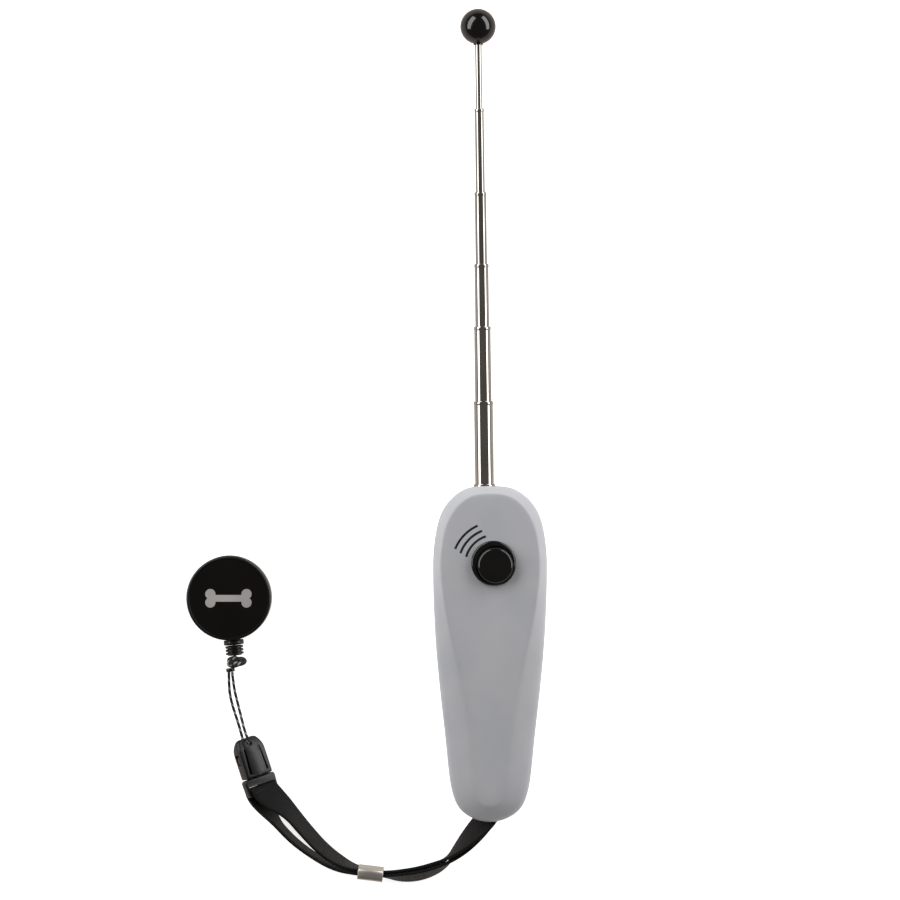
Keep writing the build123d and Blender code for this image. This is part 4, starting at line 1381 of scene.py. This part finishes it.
@dataclass
class Reel:
    """The belt reel: two shells, a printed disc, the nozzle that the cord leaves by, and the belt clip."""

    centre: tuple[float, float] = (-89.6, 19.3)
    radius: float = 14.5
    back: float = 5.2
    middle: float = 9.9
    top: float = 14.6
    face_radius: float = 13.45

    def nozzle_hole(self, tether: Tether) -> bmesh.types.BMesh:
        """The bar that bores the shells for the nozzle.

        Args:
            tether: The tether, whose neck it follows.

        Returns:
            A bar to cut with.
        """
        bar = rod_of(0, 0, 2.42, 10, 20, 40)
        bmesh.ops.transform(bar, matrix=Matrix.Scale(1 / MM, 4) @ tether.place(), verts=bar.verts)
        return bar

    def shells(self, tether: Tether) -> list[bpy.types.Object]:
        """The two halves of the case.

        Args:
            tether: The tether, for the nozzle's direction.

        Returns:
            The front and the back half.
        """
        r, top, mid, back = self.radius, self.top, self.middle, self.back
        front = [(0, top - 0.5), (self.face_radius, top - 0.5), (self.face_radius, top - 0.12),
                 (self.face_radius + 0.12, top)]
        front += [(r - 0.7 + 0.7 * sin(pi / 2 * k / 6), top - 0.7 + 0.7 * cos(pi / 2 * k / 6)) for k in range(7)]
        front += [(r, mid + 0.18), (r - 0.15, mid + 0.02), (13.1, mid + 0.02), (13.1, top - 1.2), (0, top - 1.2)]
        rear = [(1.5, back), (r - 1.4, back)]
        rear += [(r - 1.4 + 1.4 * sin(pi / 2 * k / 6), back + 1.4 - 1.4 * cos(pi / 2 * k / 6)) for k in range(1, 7)]
        rear += [(r, mid - 0.18), (r - 0.15, mid - 0.02), (13.1, mid - 0.02), (13.1, back + 1.2), (1.5, back + 1.2)]
        made = []
        for name, node, profile, closed in (("reel_case_front", "reel_front_shell", front, False),
                                            ("reel_case_back", "reel_back_shell", rear, True)):
            shape = spun(profile, 128, closed=closed)
            bmesh.ops.translate(shape, verts=shape.verts, vec=(*self.centre, 0))
            shape = combined(shape, self.nozzle_hole(tether))
            made.append(piece(name, shape, UPRIGHT, "reel", REEL_ABS, (node,), sharp=35))
        return made

    def face(self) -> list[bpy.types.Object]:
        """The printed disc, with a plain bone printed on it.

        Returns:
            The disc and its print.
        """
        r, low, top = self.face_radius - 0.05, self.top - 0.5, self.top - 0.1
        profile = [(0, low), (r, low), (r, top - 0.1), (r - 0.1, top), (0, top + 0.06)]
        shape = spun(profile, 128, closed=False)
        bmesh.ops.translate(shape, verts=shape.verts, vec=(*self.centre, 0))
        disc = piece("reel_face_printed", shape, UPRIGHT, "reel", REEL_PRINT, ("reel_face_disc",))
        ink, over = 14.53, 14.6
        bone = slab([(-5.6, -1.15), (5.6, -1.15), (5.6, 1.15), (-5.6, 1.15)], ink, over)
        lobes = [rod_of(x * 6.2, y * 1.45, 1.75, ink, over, 40) for x in (-1, 1) for y in (-1, 1)]
        bone = combined(bone, *lobes, how=Merge.FUSE)
        bmesh.ops.translate(bone, verts=bone.verts, vec=(*self.centre, 0))
        return [disc, piece("reel_face_mark", bone, UPRIGHT, "reel", PALE_INK)]

    def nozzle(self, tether: Tether) -> bpy.types.Object:
        """The flanged guide that the cord leaves by.

        Args:
            tether: The tether, for its axis.

        Returns:
            The nozzle.
        """
        profile = [(0.95, 12.95), (2.4, 12.95), (2.4, 14.6), (3.3, 14.6), (3.45, 14.75), (3.45, 16.0), (3.3, 16.2),
                   (1.25, 16.2), (1.02, 16.1), (0.95, 15.9)]
        return piece("reel_nozzle_guide", spun(profile, 64), tether.place(), "reel", REEL_ABS,
                     ("reel_nozzle",), sharp=50)

    def clip(self) -> list[bpy.types.Object]:
        """The bent steel belt clip and the rivet that it swivels on.

        Returns:
            The clip and the rivet.
        """
        plate, tongue, reach, thick = 4.7, 0.4, 9.0, 0.4
        bend = (plate - tongue) / 2
        middle = [(-8.5, plate), (-2, plate), (reach, plate)]
        middle += [(reach + bend * sin(pi * k / 14), tongue + bend + bend * cos(pi * k / 14)) for k in range(1, 14)]
        middle += [(reach, tongue), (0, tongue), (-10, tongue)]
        sides = []
        for i, (y, z) in enumerate(middle):
            before, after = middle[max(i - 1, 0)], middle[min(i + 1, len(middle) - 1)]
            run = hypot(after[0] - before[0], after[1] - before[1])
            sides.append(((after[1] - before[1]) / run * -thick, (after[0] - before[0]) / run * thick))
        outline = [(y + n[0], z + n[1]) for (y, z), n in zip(middle, sides)]
        outline += [(y - n[0], z - n[1]) for (y, z), n in list(zip(middle, sides))[::-1]]
        shape = softened(loft([[Vector((x, y, z)) for y, z in outline] for x in (-6, 6)]), 0.12, 60)
        shape = combined(shape, rod_of(0, 0, 1.55, 3, 6, 40))
        bmesh.ops.translate(shape, verts=shape.verts, vec=(*self.centre, 0))
        strip = piece("belt_clip_strip", shape, UPRIGHT, "clip", SPRING, ("belt_clip",), sharp=35)
        profile = [(0, 3.35), (1.4, 3.4), (2.2, 3.6), (2.55, 3.9), (2.6, 4.25), (1.5, 4.25), (1.5, 6.4), (0, 6.4)]
        shape = spun(profile, 48, closed=False)
        bmesh.ops.translate(shape, verts=shape.verts, vec=(*self.centre, 0))
        rivet = piece("clip_rivet_headed", shape, UPRIGHT, "reel", ZINC, ("clip_rivet",))
        return [strip, rivet]


# ---- what stays from the frame, and the stage ------------------------------------------------------

CARRIED_OVER = {
    INNER_ACETAL: ("clicker_carrier", "reel_spool"),
    SPRING: ("click_plate", "reel_spring"),
    ZINC: ("plate_rivets", "carrier_screws", "antenna_screw", "strap_pin", "reel_axle"),
    BRASS: ("antenna_base_plug", "slip_ring_1", "slip_ring_2", "slip_ring_3", "slip_ring_4", "slip_ring_5",
            "slip_ring_6"),
    REEL_ABS: ("spool_cord_winding",),
}


def dress_frame() -> None:
    """Give the CAD nodes that stay their materials."""
    for finish, nodes in CARRIED_OVER.items():
        for node in nodes:
            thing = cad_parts[node]
            thing.data.materials.clear()
            thing.data.materials.append(finish.build())
            LOG.info("%s: dressed as %s", node, finish.name)


@dataclass
class Studio:
    """A pale floor, soft light from both sides and a camera that looks straight down."""

    view_centre: tuple[float, float] = (-13.7, 70.1)
    field_width: float = 308.7
    focus_height: float = 13.0
    lens: float = 135.0
    sensor: float = 36.0

    def camera(self) -> None:
        """Make the camera and set it as the scene's own."""
        data = bpy.data.cameras.new("camera")
        data.lens, data.sensor_width = self.lens, self.sensor
        data.clip_end = 10
        height = self.field_width / self.sensor * self.lens + self.focus_height
        thing = bpy.data.objects.new("camera", data)
        thing.location = Vector((*self.view_centre, height)) * MM
        bpy.context.scene.collection.objects.link(thing)
        bpy.context.scene.camera = thing

    def card(self, name: str, centre: tuple[float, float, float], size: tuple[float, float],
             turn: tuple[float, float, float], colour: str) -> bpy.types.Object:
        """A flat board with a plain material of its own.

        Args:
            name: Its name.
            centre: Where it stands, in metres.
            size: Its width and length, in metres.
            turn: Its rotation, in degrees.
            colour: Its colour.

        Returns:
            The board.
        """
        shape = bmesh.new()
        bmesh.ops.create_grid(shape, x_segments=1, y_segments=1, size=0.5)
        place = (Matrix.Translation(centre) @ Matrix.Rotation(radians(turn[2]), 4, "Z")
                 @ Matrix.Rotation(radians(turn[1]), 4, "Y") @ Matrix.Rotation(radians(turn[0]), 4, "X")
                 @ Matrix.Diagonal((*size, 1, 1)))
        bmesh.ops.transform(shape, matrix=place, verts=shape.verts)
        mesh = bpy.data.meshes.new(name)
        shape.to_mesh(mesh)
        shape.free()
        material = bpy.data.materials.new(name)
        material.use_nodes = True
        shader = material.node_tree.nodes["Principled BSDF"]
        shader.inputs["Base Color"].default_value = linear(colour)
        shader.inputs["Roughness"].default_value = 0.9
        shader.inputs["Specular IOR Level"].default_value = 0.1
        mesh.materials.append(material)
        thing = bpy.data.objects.new(name, mesh)
        bpy.context.scene.collection.objects.link(thing)
        return thing

    def softbox(self, name: str, place: tuple[float, float, float], size: tuple[float, float], power: float) -> None:
        """A soft light that faces the object.

        Args:
            name: Its name.
            place: Where it hangs, in metres.
            size: Its width and length, in metres.
            power: Its power in watts.
        """
        data = bpy.data.lights.new(name, "AREA")
        data.shape = "RECTANGLE"
        data.size, data.size_y = size
        data.energy = power
        thing = bpy.data.objects.new(name, data)
        thing.location = place
        aim = Vector((-0.02, 0.06, 0)) - Vector(place)
        thing.rotation_euler = aim.to_track_quat("-Z", "Y").to_euler()
        bpy.context.scene.collection.objects.link(thing)

    def build(self) -> None:
        """Set the floor, the lights and the world."""
        floor = self.card("floor", (0, 0, -0.0002), (8, 8), (0, 0, 0), "#ffffff")
        glow = floor.data.materials[0].node_tree.nodes["Principled BSDF"]
        glow.inputs["Emission Color"].default_value = linear("#ffffff")
        glow.inputs["Emission Strength"].default_value = 0.8
        # What shines sees a grey board under the floor, so that bright metal keeps its edges on white.
        floor.visible_glossy = False
        board = self.card("grey board", (0, 0, -0.05), (8, 8), (0, 0, 0), "#8e8985")
        dim = board.data.materials[0].node_tree.nodes["Principled BSDF"]
        dim.inputs["Emission Color"].default_value = linear("#a39d98")
        dim.inputs["Emission Strength"].default_value = 0.6
        self.softbox("left softbox", (-0.76, 0.5, 0.55), (1.5, 0.5), 8.8)
        self.softbox("right softbox", (0.8, 0.5, 0.44), (1.5, 0.42), 8.0)
        world = bpy.data.worlds.new("studio")
        world.use_nodes = True
        background = world.node_tree.nodes["Background"]
        background.inputs["Color"].default_value = linear("#eae2d9")
        background.inputs["Strength"].default_value = 0.14
        bpy.context.scene.world = world
        bpy.context.scene.view_settings.view_transform = "Standard"
        bpy.context.scene.view_settings.look = "None"


def main() -> None:
    """Build the stage, then every sub-assembly."""
    logging.basicConfig(level=logging.INFO, format="%(name)s %(message)s")
    studio = Studio()
    studio.camera()
    studio.build()
    buckle = Buckle()
    WristStrap().build(buckle)
    tether = Tether()
    female = buckle.female()
    buckle.male()
    buckle.prongs()
    knot, crimp, stopper = tether.knot_lump(), tether.crimp(), tether.stopper()
    tether.stub()
    tether.loop([female, knot, crimp, stopper])
    Ferrule().build()
    handle = Handle()
    front = handle.front()
    handle.back()
    button = Button()
    button.collar()
    button.cap()
    button.click_waves(front)
    telescope = Telescope()
    for stage in range(len(telescope.tops)):
        telescope.tube(stage)
    telescope.tip()
    CaseScrews().build()
    reel = Reel()
    reel.shells(tether)
    reel.face()
    reel.nozzle(tether)
    reel.clip()
    dress_frame()


if __name__ == "__main__":
    main()
